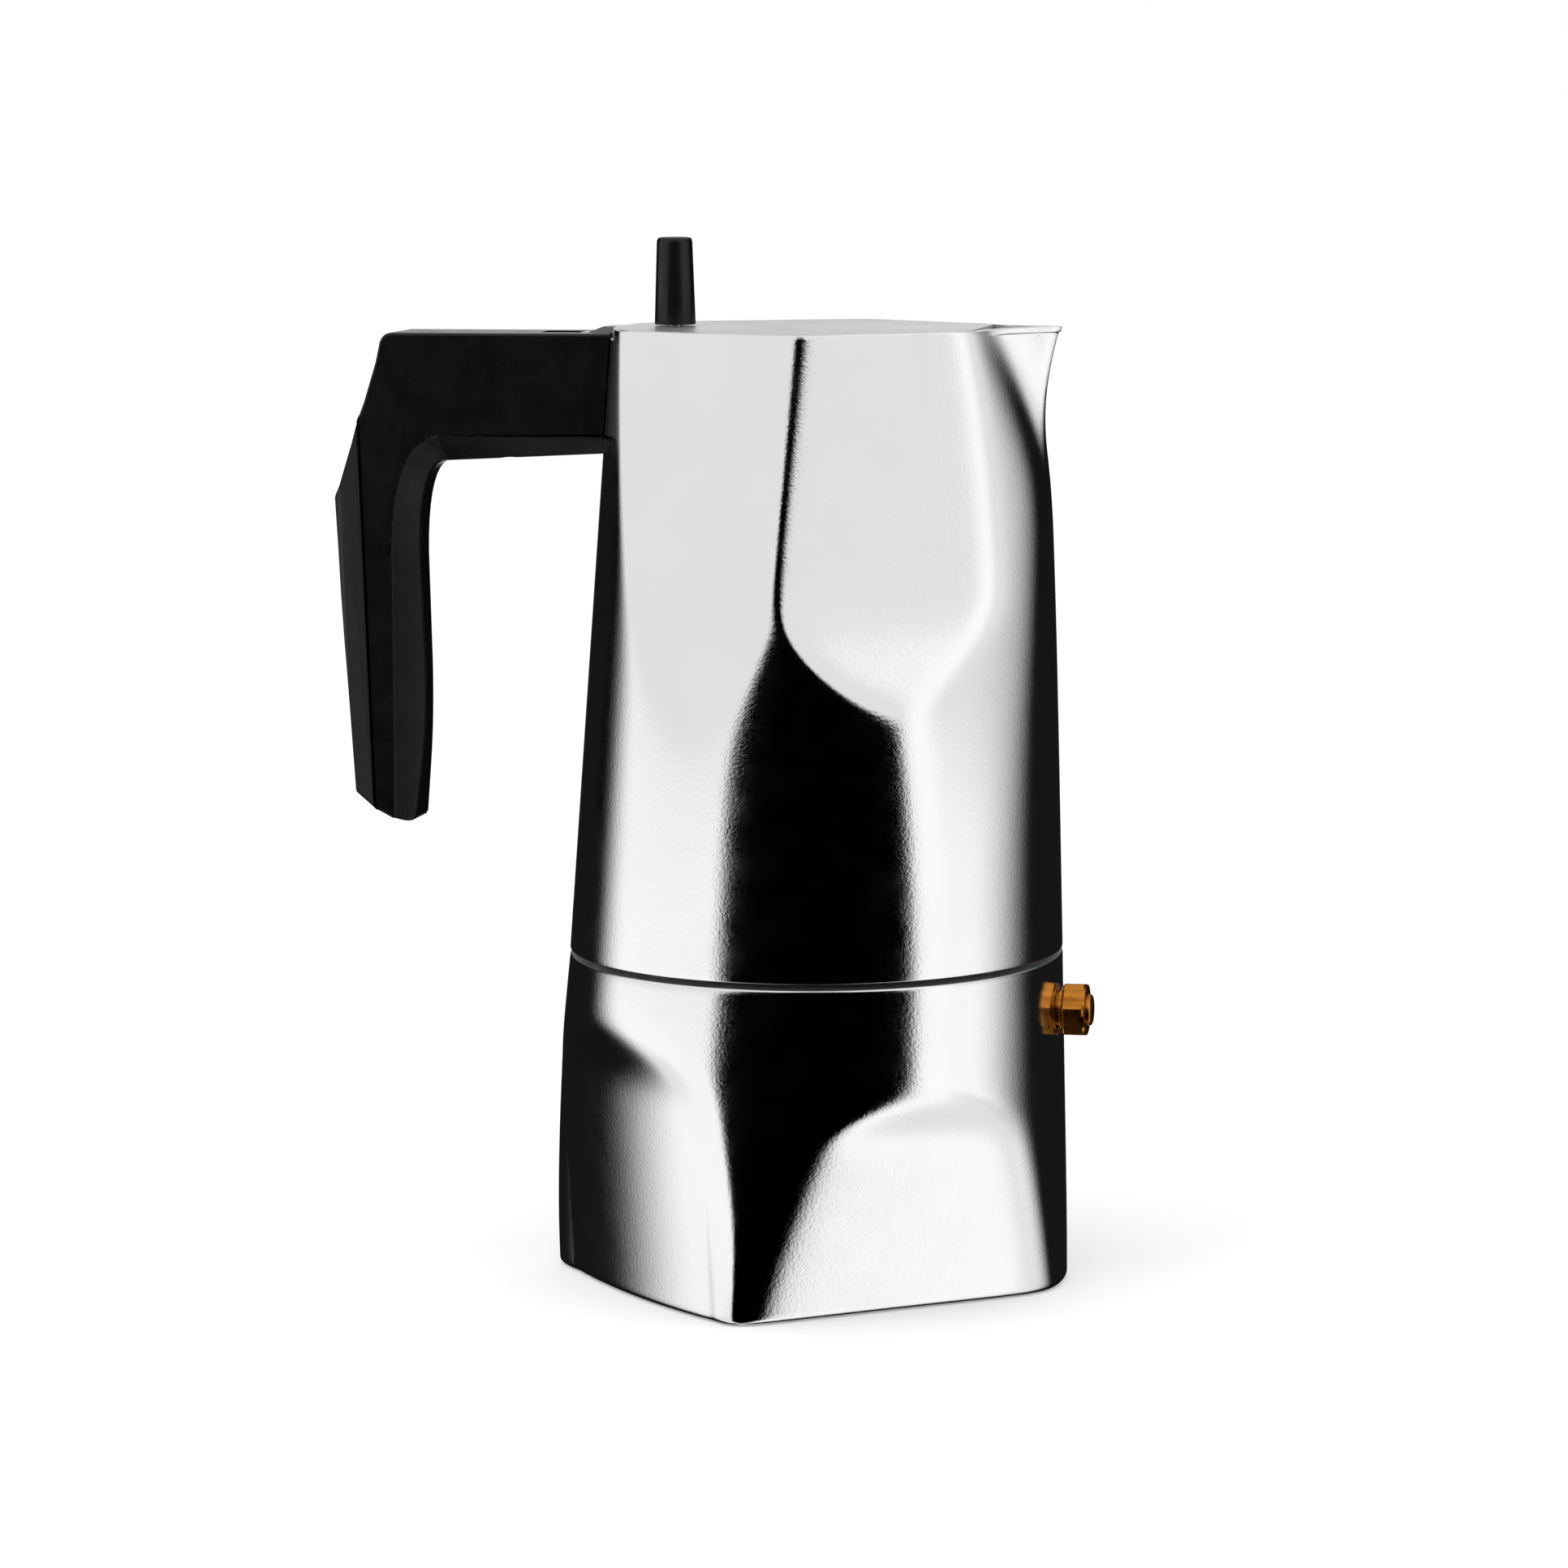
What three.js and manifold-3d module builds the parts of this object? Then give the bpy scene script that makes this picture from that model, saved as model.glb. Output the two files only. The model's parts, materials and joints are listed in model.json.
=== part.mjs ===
// Six-cup stovetop moka pot in cast aluminium, with a safety valve, a lift-out funnel,
// a screwed-on jug with a hinged lid, and a plastic handle.
// Millimetres. +Z is up, +X points to the spout and to the valve, and the handle is at -X.
// The origin is the centre of the boiler's flat underside. The pot mirrors across Y = 0.
import * as THREE from "three";
import { mergeVertices } from "three/addons/utils/BufferGeometryUtils.js";
import Module from "manifold-3d";

const wasm = await Module();
wasm.setup();

// ---- Driving dimensions ----
const GAP = 0.35; // clearance between neighbouring pieces
const AROUND = 48; // segments of a large round piece
const SMALL_AROUND = 24; // segments of a small round piece
const WIRE_CURVE_SEGMENTS = 3; // half of the sides of the spring's wire
const HOLE_SIDES = 6;

// Heights, from the floor up
const BOILER_FLOOR = 4.5;
const BOILER_TOP = 71;
const NECK_TOP = 83;
const JUG_BOTTOM = 72.3;
const JUG_FLOOR = 94;
const LID_LEDGE = 203;
const RIM = 205.2;
const LID_BOTTOM = 203.35;
const LID_TOP = 205.3;
const SPOUT_TIP_TOP = 205.6;
const KNOB_TOP = 224.3;

// Blank of the casting: round sections whose centres lean towards the spout as they rise
const RING_RADIUS = 53;
const RING_FRONT = 53.4; // reach of the ring towards the spout
const BACK_SLOPE = 0.0774; // how fast the back line comes in above the ring
const FRONT_SLOPE = 0.018;
const FOOT_FRONT = 54.6;
const FOOT_BACK = 58.6;
const BACK_CURVE = 1.4; // makes the boiler's back line bulge a little
const FOOT_BLEND = 1.4; // extra rounding between the flats at the foot, gone at FOOT_BLEND_END
const FOOT_BLEND_END = 55;

// Boiler wall and neck
const BOILER_WALL = 4;
const NECK_RADIUS = 46;
const NECK_BORE = 40.5;
const SHOULDER_START = 62;

const FLAT_TOP = 205.6; // height at which the jug's flats have their stated distance

// Flats of the boiler and the jug, as mirrored pairs: the azimuth of the normal, the distance from
// the axis at height "at", how it grows with height, and the ramp that closes the flat
const BOILER_FRONT_FLAT = { azimuth: 53.5, distance: 41.7, at: 0, slope: 0.19,
  ramp: { distance: 53.4, at: 45.4, slope: 0.7 } };
const BOILER_REAR_FLAT = { azimuth: 136.5, distance: 46.6, at: 0, slope: 0.055, crown: 170,
  ramp: { distance: 53.3, at: 57.5, slope: 0.5 } };
const JUG_FRONT_FLAT = { azimuth: 56.5, distance: 34.9, at: FLAT_TOP, slope: -0.127,
  ramp: { distance: 51, at: 129.5, slope: -0.52 } };
const JUG_REAR_FLAT = { azimuth: 112, distance: 34.4, at: FLAT_TOP, slope: -0.195 };
// Cheeks between the front flats and the spout, and the hollows that set the beak off from them
const CHEEK = { azimuth: 38, distance: 40.1, at: FLAT_TOP, slope: -0.14 };
const HOLLOW = { azimuth: 18, distance: 42.6, at: FLAT_TOP, slope: -0.31 };
const RAMP_BLEND = 1.2;
const CROWN_REACH = 30; // half the width over which a crowned flat goes on falling away
// How far corners are rounded over: where flats meet the round band, around the cheeks, between
// two flats, and in the valleys beside the beak
const BAND_BLEND = 0.7;
const CHEEK_BLEND = 2;
const RIDGE_BLEND_LOW = 0.9; // up to RIDGE_SOFTENS
const RIDGE_BLEND_TOP = 1.8;
const RIDGE_SOFTENS = 150;
const VALLEY_BLEND = 1.3;

// Spout
const BEAK_START = 178; // height where the beak leaves the round front
const BEAK_ROOT = 49.3; // reach of the beak there
const BEAK_FLARE = 4.1; // how much further the tip reaches
const BEAK_ENTRY = 2.3; // how fast the keel sinks into the front below BEAK_START
const BEAK_SIDE = 54; // azimuth of the beak's side walls
const BEAK_REACH = 60; // azimuth beyond which there is no beak
const KEEL_BLEND_LOW = 4; // rounding of the keel, up to KEEL_SHARPENS
const KEEL_BLEND_TOP = 1.3;
const KEEL_SHARPENS = 150;
const SPOUT_LIFT_START = 196;
const SPOUT_LIFT_WIDTH = 24; // azimuth where the raised lip is level with the rim again

// Jug
const JUG_WALL = 3;
const JUG_BORE = 46.6;
const SEAL_RECESS = 44.7;
const SEAL_LEDGE = 84.2;
const CHAMBER_TOP = 89.3;
const CHAMBER_RADIUS = 36;
const COLUMN_TOP = 163;
const COLUMN_RADIUS = 8;
const COLUMN_TIP_RADIUS = 6.2;
const COLUMN_BORE = 4;
const OUTLET_BOTTOM = 152;
const OUTLET_HEIGHT = 6;
const OUTLET_WIDTH = 5;

// Lid, hinge and knob
const LID_END = 37;
const RIM_LIP = 1.2; // thickness of the rim that stands around the lid
const LID_BACK = 153; // azimuth beyond which the rim is cut away so that the lid can swing
const RIM_CUT = 5; // how far that cut runs past the rim, outwards and upwards
const HINGE_X = -50;
const HINGE_Z = 201;
const HINGE_PIN_RADIUS = 1;
const KNUCKLE_RADIUS = 3;
const LUG_HALF_WIDTH = 3.3;
const KNOB_X = -30;
const KNOB_BASE_RADIUS = 4.4;
const KNOB_TIP_RADIUS = 3.8;
const KNOB_WASHER_THICKNESS = 0.6;
const KNOB_SCREW_RADIUS = 1.5;
const KNOB_SCREW_TOP = 214;
const KNOB_INSERT_RADIUS = 2.7;
const KNOB_BORE = 3;
const SCREW_HEAD_RADIUS = 3.4; // of the knob's screw and of the handle's
const KNOB_SCREW_BOTTOM = 200.9;

// Handle
const HANDLE_HALF_WIDTH = 9;
const BEVEL_REACH = 7; // depth of the slanted flats' cutters into the side
const TANG_HALF_WIDTH = 4;
const TANG_END = -72;
const TANG_BOTTOM = 183;
const TANG_TOP = 193;
const HANDLE_SCREW_X = -66;
const HANDLE_SCREW_RADIUS = 2;
const HANDLE_BOTTOM_AT_SCREW = 177;
const HANDLE_SCREW_TOP = 199;
const HANDLE_INSERT_RADIUS = 3.2;
const HANDLE_INSERT_TOP = 199.6;
const SLOT_END = -59;
const SLOT_BOTTOM = 197;

// Safety valve
const VALVE_Z = 59.5;
const VALVE_BODY_RADIUS = 4.2;
const VALVE_INNER_END = 44;
const VALVE_HEX_START = 54.75;
const VALVE_HEX_END = 59.4;
const VALVE_TURN = -10; // degrees that the hexagon ends up turned by when it is tight
const VALVE_ACROSS_FLATS = 11;
const VALVE_TIP = 60.6;
const WASHER_INNER_END = 54.05;
const WASHER_RADIUS = 5.2;
const SEAT_BORE = 1.6;
const SEAT_THICKNESS = 1.2;
const STEM_HEAD_RADIUS = 2.7;
const STEM_HEAD_START = 45.5;
const STEM_HEAD_END = 47;
const STEM_ROD_RADIUS = 1.5;
const STEM_GUIDE_START = 56.6;
const STEM_GUIDE_RADIUS = 3.4;
const SPRING_ROOM_RADIUS = 3;
const SPRING_START = 47.4;
const SPRING_END = 53.6;
const SPRING_TURNS = 5;
const SPRING_RADIUS = 2.3;
const SPRING_WIRE_RADIUS = 0.38;

// Funnel, seal and filter plate
const FLANGE_RADIUS = 44;
const BOWL_RADIUS = 39.5;
const SHEET = 1;
const BOWL_FLOOR = 61.8;
const FUNNEL_COLLAR_TOP = 51;
const FUNNEL_COLLAR_BOTTOM = 46;
const TUBE_RADIUS = 5.5;
const TUBE_BORE = 4.6;
const TUBE_BOTTOM = 8;
const SIEVE_RADIUS = 37.2;
const SIEVE_HOLE_PITCH = 9.5;
const PLATE_RADIUS = 39.5;
const PLATE_HOLE_PITCH = 8.5;
const DISC_THICKNESS = 0.8;
const HOLE_RINGS = 3;
const SEAL_BORE = 33;
const SEAL_THICKNESS = 3;
const HOLE_RADIUS = 1;

// ---- Materials ----
const finish = (color, roughness, metalness) => ({ color, roughness, metalness });
const POLISHED_ALUMINIUM = finish(0xd6d7d8, 0.16, 1);
const SATIN_ALUMINIUM = finish(0xcfd0d1, 0.38, 1);
const BRASS = finish(0xc98a2e, 0.3, 1);
const STEEL = finish(0xb9babc, 0.3, 1);
const BLACK_PLASTIC = finish(0x0e0e0f, 0.5, 0);
const SILICONE = finish(0xe9e7e0, 0.7, 0);

// ---- Small maths ----
const { abs, cos, sin, PI, sqrt, min, max, log, exp, hypot, atan2 } = Math;
const { clamp, degToRad: rad, lerp, smoothstep } = THREE.MathUtils;
const FAR = 1000;

// Smallest of the values, with the corners between them rounded over about k.
function softMin(k, values) {
  const least = min(...values);
  return least - k * log(values.reduce((sum, v) => sum + exp((least - v) / k), 0));
}

function softMax(k, values) {
  return -softMin(k, values.map((v) => -v));
}

// Distance from the axis along azimuth theta to a circle whose centre lies on X, and to a
// vertical plane.
function circleRay(theta, centre, radius) {
  return centre * cos(theta) + sqrt(radius ** 2 - (centre * sin(theta)) ** 2);
}

function planeRay(theta, azimuth, distance) {
  const facing = cos(theta - azimuth);
  return facing > 0.1 ? distance / facing : FAR;
}

// ---- Shape of the casting ----
function flatDistance(flat, z) {
  const plane = flat.distance + flat.slope * (z - flat.at);
  if (!flat.ramp) return plane;
  return softMax(RAMP_BLEND, [plane, flat.ramp.distance + flat.ramp.slope * (z - flat.ramp.at)]);
}

// A crowned flat falls away from its plane as a cylinder of radius "crown" would.
function flatRays(flat, theta, z) {
  const distance = flatDistance(flat, z);
  return [-1, 1].map((side) => {
    const ray = planeRay(theta, side * rad(flat.azimuth), distance);
    const aside = min(sqrt(max(0, ray ** 2 - distance ** 2)), CROWN_REACH);
    return flat.crown ? ray - aside ** 2 / (2 * flat.crown) : ray;
  });
}

function boilerRadius(theta, z) {
  const rise = max(0, z / BOILER_TOP);
  const front = lerp(FOOT_FRONT, RING_FRONT, rise);
  const back = lerp(FOOT_BACK, RING_RADIUS, rise ** BACK_CURVE);
  const round = circleRay(theta, (front - back) / 2, (front + back) / 2);
  const blend = 1 + FOOT_BLEND * max(0, 1 - z / FOOT_BLEND_END);
  return softMin(blend, [
    round,
    ...flatRays(BOILER_FRONT_FLAT, theta, z),
    ...flatRays(BOILER_REAR_FLAT, theta, z),
  ]);
}

// Reach of the beak's keel at height z.
function keel(z) {
  const t = (z - BEAK_START) / (SPOUT_TIP_TOP - BEAK_START);
  return BEAK_ROOT + (t > 0 ? BEAK_FLARE : -BEAK_ENTRY) * t * t;
}

function beakRay(theta, z) {
  if (abs(theta) > rad(BEAK_REACH)) return 0;
  const blend = lerp(KEEL_BLEND_LOW, KEEL_BLEND_TOP, smoothstep(z, KEEL_SHARPENS, FLAT_TOP));
  const side = rad(BEAK_SIDE);
  const distance = (keel(z) + blend * log(2)) * cos(side);
  return softMin(blend, [planeRay(theta, side, distance), planeRay(theta, -side, distance)]);
}

function jugRadius(theta, z) {
  const front = RING_FRONT - FRONT_SLOPE * (z - JUG_BOTTOM);
  const back = RING_RADIUS - BACK_SLOPE * (z - JUG_BOTTOM);
  const round = circleRay(theta, (front - back) / 2, (front + back) / 2);
  const rise = smoothstep(z, RIDGE_SOFTENS, FLAT_TOP);
  const flats = softMin(lerp(RIDGE_BLEND_LOW, RIDGE_BLEND_TOP, rise), [
    ...flatRays(JUG_FRONT_FLAT, theta, z),
    ...flatRays(JUG_REAR_FLAT, theta, z),
  ]);
  const blank = softMin(CHEEK_BLEND, [
    round,
    ...flatRays(CHEEK, theta, z),
    ...flatRays(HOLLOW, theta, z),
  ]);
  const body = softMin(BAND_BLEND, [blank, flats]);
  return softMax(VALLEY_BLEND, [body, beakRay(theta, z)]);
}

// ---- Solids ----
function toSolid(geometry) {
  const bare = geometry.clone();
  bare.deleteAttribute("normal");
  bare.deleteAttribute("uv");
  const merged = mergeVertices(bare, 1e-4);
  const make = (triVerts) => new wasm.Manifold(new wasm.Mesh({
    numProp: 3,
    vertProperties: new Float32Array(merged.attributes.position.array),
    triVerts,
  }));
  const triangles = new Uint32Array(merged.index.array);
  const solid = make(triangles);
  return solid.volume() > 0 ? solid : make(triangles.reverse());
}

function fromSolid(solid) {
  const { vertProperties, triVerts } = solid.getMesh();
  const geometry = new THREE.BufferGeometry();
  geometry.setAttribute("position", new THREE.BufferAttribute(new Float32Array(vertProperties), 3));
  geometry.setIndex(new THREE.BufferAttribute(new Uint32Array(triVerts), 1));
  geometry.computeVertexNormals();
  return geometry;
}

// Solid of revolution about Z from [radius, z] points.
function turned(points, segments = AROUND) {
  const profile = points.map(([r, z]) => new THREE.Vector2(r, z));
  return new THREE.LatheGeometry(profile, segments).rotateX(PI / 2);
}

function ring(inner, outer, bottom, top, segments = AROUND) {
  return turned(
    [[inner, bottom], [outer, bottom], [outer, top], [inner, top], [inner, bottom]],
    segments,
  );
}

function rod(radius, bottom, top, segments = SMALL_AROUND) {
  return turned([[0, bottom], [radius, bottom], [radius, top], [0, top]], segments);
}

// The same along X, at the valve's height.
function onValveAxis(geometry) {
  return geometry.rotateY(PI / 2).translate(0, 0, VALVE_Z);
}

function block(x0, x1, y0, y1, z0, z1) {
  return new THREE.BoxGeometry(x1 - x0, y1 - y0, z1 - z0)
    .translate((x0 + x1) / 2, (y0 + y1) / 2, (z0 + z1) / 2);
}

// Outline in the XZ plane, thick along Y from y0 to y1.
function sideExtrusion(shape, y0, y1) {
  return new THREE.ExtrudeGeometry(shape, { depth: y1 - y0, bevelEnabled: false, curveSegments: 6 })
    .rotateX(PI / 2)
    .translate(0, y1, 0);
}

function shapeFrom(points) {
  return new THREE.Shape(points.map(([x, y]) => new THREE.Vector2(x, y)));
}

// Moves each vertex of a turned geometry to the place that place(theta, radius, z) gives.
function reshape(geometry, place) {
  const position = geometry.attributes.position;
  for (let i = 0; i < position.count; i++) {
    const x = position.getX(i);
    const y = position.getY(i);
    const theta = atan2(y, x);
    const [radius, z] = place(theta, hypot(x, y), position.getZ(i));
    position.setXYZ(i, radius * cos(theta), radius * sin(theta), z);
  }
  return geometry;
}

function heights(from, to, count) {
  return Array.from({ length: count + 1 }, (_, i) => from + ((to - from) * i) / count);
}

// ---- Boiler ----
// Turned around a nominal radius, then each level takes the section's real outline.
function boiler() {
  const nominal = RING_RADIUS;
  const inside = nominal - BOILER_WALL;
  const profile = [
    [0, 0],
    ...heights(0, BOILER_TOP, 12).map((z) => [nominal, z]),
    [NECK_RADIUS, BOILER_TOP],
    [NECK_RADIUS, NECK_TOP],
    [NECK_BORE, NECK_TOP],
    [NECK_BORE, BOILER_TOP],
    ...heights(SHOULDER_START, BOILER_FLOOR + 2, 6).map((z) => [inside, z]),
    [inside - 2, BOILER_FLOOR],
    [0, BOILER_FLOOR],
  ];
  const casting = reshape(turned(profile), (theta, radius, z) => {
    const outline = z < BOILER_TOP || radius === nominal ? boilerRadius(theta, z) : nominal;
    return [(radius * outline) / nominal, z];
  });
  const valveHole = onValveAxis(rod(VALVE_BODY_RADIUS + GAP, VALVE_INNER_END, VALVE_HEX_START));
  return fromSolid(toSolid(casting).subtract(toSolid(valveHole)));
}

// ---- Safety valve ----
function hexPrism(acrossFlats, from, to) {
  const corner = acrossFlats / sqrt(3);
  const chamfer = 0.5;
  const prism = new THREE.CylinderGeometry(corner, corner, to - from, 6)
    .rotateX(PI / 2)
    .rotateZ(rad(VALVE_TURN))
    .translate(0, 0, (from + to) / 2);
  const turnedBlank = turned([
    [0, from],
    [corner + 0.1, from],
    [corner + 0.1, to - chamfer],
    [corner - chamfer * 1.6, to],
    [0, to],
  ], SMALL_AROUND);
  return toSolid(prism).intersect(toSolid(turnedBlank));
}

function valveBody() {
  const shank = toSolid(rod(VALVE_BODY_RADIUS, VALVE_INNER_END, VALVE_HEX_START + 1));
  const springRoom = toSolid(rod(SPRING_ROOM_RADIUS, VALVE_INNER_END - 1, SPRING_END + GAP));
  const stemHole = toSolid(rod(STEM_ROD_RADIUS + GAP, SPRING_END, VALVE_HEX_END + 1));
  const guideRoom = toSolid(
    rod(STEM_GUIDE_RADIUS + GAP, STEM_GUIDE_START - 2 * GAP, VALVE_HEX_END + 1),
  );
  const solid = shank
    .add(hexPrism(VALVE_ACROSS_FLATS, VALVE_HEX_START, VALVE_HEX_END))
    .subtract(springRoom)
    .subtract(stemHole)
    .subtract(guideRoom);
  return onValveAxis(fromSolid(solid));
}

function valveWasher() {
  const outerEnd = VALVE_HEX_START - GAP;
  return onValveAxis(
    ring(VALVE_BODY_RADIUS + GAP, WASHER_RADIUS, WASHER_INNER_END, outerEnd, SMALL_AROUND),
  );
}

function valveSeat() {
  const end = VALVE_INNER_END + SEAT_THICKNESS;
  return onValveAxis(ring(SEAT_BORE, STEM_HEAD_RADIUS, VALVE_INNER_END, end, SMALL_AROUND));
}

// Sealing head inside, rod through the spring, and a domed guide that shows outside.
function valveStem() {
  return onValveAxis(turned([
    [0, STEM_HEAD_START],
    [STEM_HEAD_RADIUS, STEM_HEAD_START],
    [STEM_HEAD_RADIUS, STEM_HEAD_END],
    [STEM_ROD_RADIUS, STEM_HEAD_END],
    [STEM_ROD_RADIUS, STEM_GUIDE_START],
    [STEM_GUIDE_RADIUS, STEM_GUIDE_START],
    [STEM_GUIDE_RADIUS, VALVE_TIP - 0.9],
    [STEM_GUIDE_RADIUS - 0.5, VALVE_TIP - 0.25],
    [STEM_GUIDE_RADIUS - 1.5, VALVE_TIP],
    [0, VALVE_TIP],
  ], SMALL_AROUND));
}

class Helix extends THREE.Curve {
  getPoint(t, target = new THREE.Vector3()) {
    const angle = t * SPRING_TURNS * 2 * PI;
    const travel = SPRING_END - SPRING_START - 2 * SPRING_WIRE_RADIUS;
    return target.set(
      SPRING_START + SPRING_WIRE_RADIUS + travel * t,
      SPRING_RADIUS * cos(angle),
      VALVE_Z + SPRING_RADIUS * sin(angle),
    );
  }
}

function valveSpring() {
  const wire = new THREE.Shape();
  wire.absarc(0, 0, SPRING_WIRE_RADIUS, 0, 2 * PI);
  return new THREE.ExtrudeGeometry(wire, {
    steps: SPRING_TURNS * 12,
    curveSegments: WIRE_CURVE_SEGMENTS,
    extrudePath: new Helix(),
  });
}

// ---- Funnel ----
function funnelBowl() {
  const inside = BOWL_RADIUS - SHEET;
  const collar = TUBE_RADIUS + GAP;
  return turned([
    [FLANGE_RADIUS, NECK_TOP + GAP],
    [FLANGE_RADIUS, NECK_TOP + GAP + SHEET],
    [inside, NECK_TOP + GAP + SHEET],
    [inside - 0.7, BOWL_FLOOR],
    [inside - 2.5, BOWL_FLOOR],
    [collar, FUNNEL_COLLAR_TOP],
    [collar, FUNNEL_COLLAR_BOTTOM],
    [collar + SHEET, FUNNEL_COLLAR_BOTTOM],
    [collar + SHEET, FUNNEL_COLLAR_TOP - 0.6],
    [BOWL_RADIUS - 0.7, BOWL_FLOOR - SHEET],
    [BOWL_RADIUS, NECK_TOP + GAP],
    [FLANGE_RADIUS, NECK_TOP + GAP],
  ]);
}

function funnelTube() {
  return ring(TUBE_BORE, TUBE_RADIUS, TUBE_BOTTOM, FUNNEL_COLLAR_TOP - 0.5, SMALL_AROUND);
}

function polygon(x, y, radius, sides) {
  return Array.from({ length: sides }, (_, i) => {
    const angle = (2 * PI * i) / sides;
    return new THREE.Vector2(x + radius * cos(angle), y + radius * sin(angle));
  });
}

// Disc with a hole at its centre and rings of holes around it.
function perforatedDisc(radius, bottom, pitch) {
  const outline = new THREE.Shape(polygon(0, 0, radius, AROUND));
  const addHole = (x, y) => outline.holes.push(new THREE.Path(polygon(x, y, HOLE_RADIUS, HOLE_SIDES)));
  addHole(0, 0);
  for (let i = 1; i <= HOLE_RINGS; i++) {
    const count = 6 * i;
    for (let j = 0; j < count; j++) {
      const angle = (2 * PI * j) / count;
      addHole(i * pitch * cos(angle), i * pitch * sin(angle));
    }
  }
  const options = { depth: DISC_THICKNESS, bevelEnabled: false };
  return new THREE.ExtrudeGeometry(outline, options).translate(0, 0, bottom);
}

function funnelSieve() {
  return perforatedDisc(SIEVE_RADIUS, BOWL_FLOOR + GAP, SIEVE_HOLE_PITCH);
}

// ---- Seal and filter plate ----
const SEAL_BOTTOM = NECK_TOP + SHEET + 2 * GAP;
const PLATE_BOTTOM = SEAL_BOTTOM + SEAL_THICKNESS + GAP;

function gasket() {
  return ring(SEAL_BORE, SEAL_RECESS - GAP, SEAL_BOTTOM, SEAL_BOTTOM + SEAL_THICKNESS);
}

function filterPlate() {
  return perforatedDisc(PLATE_RADIUS, PLATE_BOTTOM, PLATE_HOLE_PITCH);
}

// ---- Jug ----
function spoutLift(theta, z) {
  const share = clamp((z - SPOUT_LIFT_START) / (RIM - SPOUT_LIFT_START), 0, 1);
  const near = 1 - smoothstep(abs(theta), 0, rad(SPOUT_LIFT_WIDTH));
  return (SPOUT_TIP_TOP - RIM) * near * share;
}

function jugCasting() {
  const nominal = RING_RADIUS;
  const inside = nominal - JUG_WALL;
  const profile = [
    [0, JUG_BOTTOM],
    ...heights(JUG_BOTTOM, 118, 2).map((z) => [nominal, z]),
    ...heights(123, SPOUT_LIFT_START, 9).map((z) => [nominal, z]),
    [nominal, 200],
    [nominal, RIM],
    [inside, RIM],
    ...heights(SPOUT_LIFT_START, 118, 5).map((z) => [inside, z]),
    [inside, JUG_FLOOR + 4],
    [inside - 3, JUG_FLOOR],
    [0, JUG_FLOOR + 4],
  ];
  return reshape(turned(profile), (theta, radius, z) => {
    const lifted = z + spoutLift(theta, z);
    return [(radius * jugRadius(theta, lifted)) / nominal, lifted];
  });
}

// Screw socket, seal recess, coffee chamber and the duct up the column.
function jugUnderside() {
  return turned([
    [0, JUG_BOTTOM - 1],
    [JUG_BORE, JUG_BOTTOM - 1],
    [JUG_BORE, SEAL_LEDGE],
    [SEAL_RECESS, SEAL_LEDGE],
    [SEAL_RECESS, CHAMBER_TOP],
    [CHAMBER_RADIUS, CHAMBER_TOP],
    [COLUMN_BORE, CHAMBER_TOP + 4],
    [COLUMN_BORE - 0.6, COLUMN_TOP - 3],
    [0, COLUMN_TOP - 3],
  ]);
}

function jugColumn() {
  return turned([
    [0, JUG_FLOOR - 2],
    [COLUMN_RADIUS + 3, JUG_FLOOR - 2],
    [COLUMN_RADIUS + 3, JUG_FLOOR + 4],
    [COLUMN_RADIUS, JUG_FLOOR + 9],
    [COLUMN_TIP_RADIUS, COLUMN_TOP - 2.5],
    [COLUMN_TIP_RADIUS - 2, COLUMN_TOP],
    [0, COLUMN_TOP],
  ], SMALL_AROUND);
}

// Tongue at the back that the handle slides over, with a hole for its screw.
function jugTang() {
  const tang = block(TANG_END, -43.5, -TANG_HALF_WIDTH, TANG_HALF_WIDTH, TANG_BOTTOM, TANG_TOP);
  const hole = rod(HANDLE_SCREW_RADIUS + GAP, TANG_BOTTOM - 1, TANG_TOP + 1)
    .translate(HANDLE_SCREW_X, 0, 0);
  return toSolid(tang).subtract(toSolid(hole));
}

function jug() {
  const outlets = block(-20, 20, -OUTLET_WIDTH / 2, OUTLET_WIDTH / 2,
    OUTLET_BOTTOM, OUTLET_BOTTOM + OUTLET_HEIGHT);
  const lidSeat = mouthExtrusion(mouthOutline(0, RIM_CUT, LID_END + GAP), LID_LEDGE, RIM + RIM_CUT);
  const solid = toSolid(jugCasting())
    .subtract(toSolid(lidSeat))
    .add(toSolid(jugColumn()))
    .add(jugTang())
    .subtract(toSolid(jugUnderside()))
    .subtract(toSolid(outlets));
  return fromSolid(solid);
}

// Solid copy of the jug's outside, grown by a clearance, that shapes the handle's front end.
function jugEnvelope(clearance) {
  const profile = [
    [0, 150],
    ...heights(150, 215, 10).map((z) => [RING_RADIUS, z]),
    [0, 215],
  ];
  return toSolid(reshape(turned(profile), (theta, radius, z) => {
    const outline = jugRadius(theta, min(z, RIM)) + clearance;
    return [(radius * outline) / RING_RADIUS, z];
  }));
}

// ---- Lid ----
// Outline inside the jug's rim, and out over the rim's cut-away back, drawn in by the clearance.
function mouthOutline(clearance, backReach, end) {
  const points = [];
  for (let i = 0; i < AROUND; i++) {
    const theta = -PI + (2 * PI * i) / AROUND;
    const atBack = abs(theta) > rad(LID_BACK) + clearance * rad(15);
    const radius = jugRadius(theta, RIM) + (atBack ? backReach : -RIM_LIP) - clearance;
    points.push(new THREE.Vector2(min(radius * cos(theta), end), radius * sin(theta)));
  }
  return new THREE.Shape(points);
}

function mouthExtrusion(outline, bottom, top) {
  return new THREE.ExtrudeGeometry(outline, { depth: top - bottom, bevelEnabled: false })
    .translate(0, 0, bottom);
}

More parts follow.
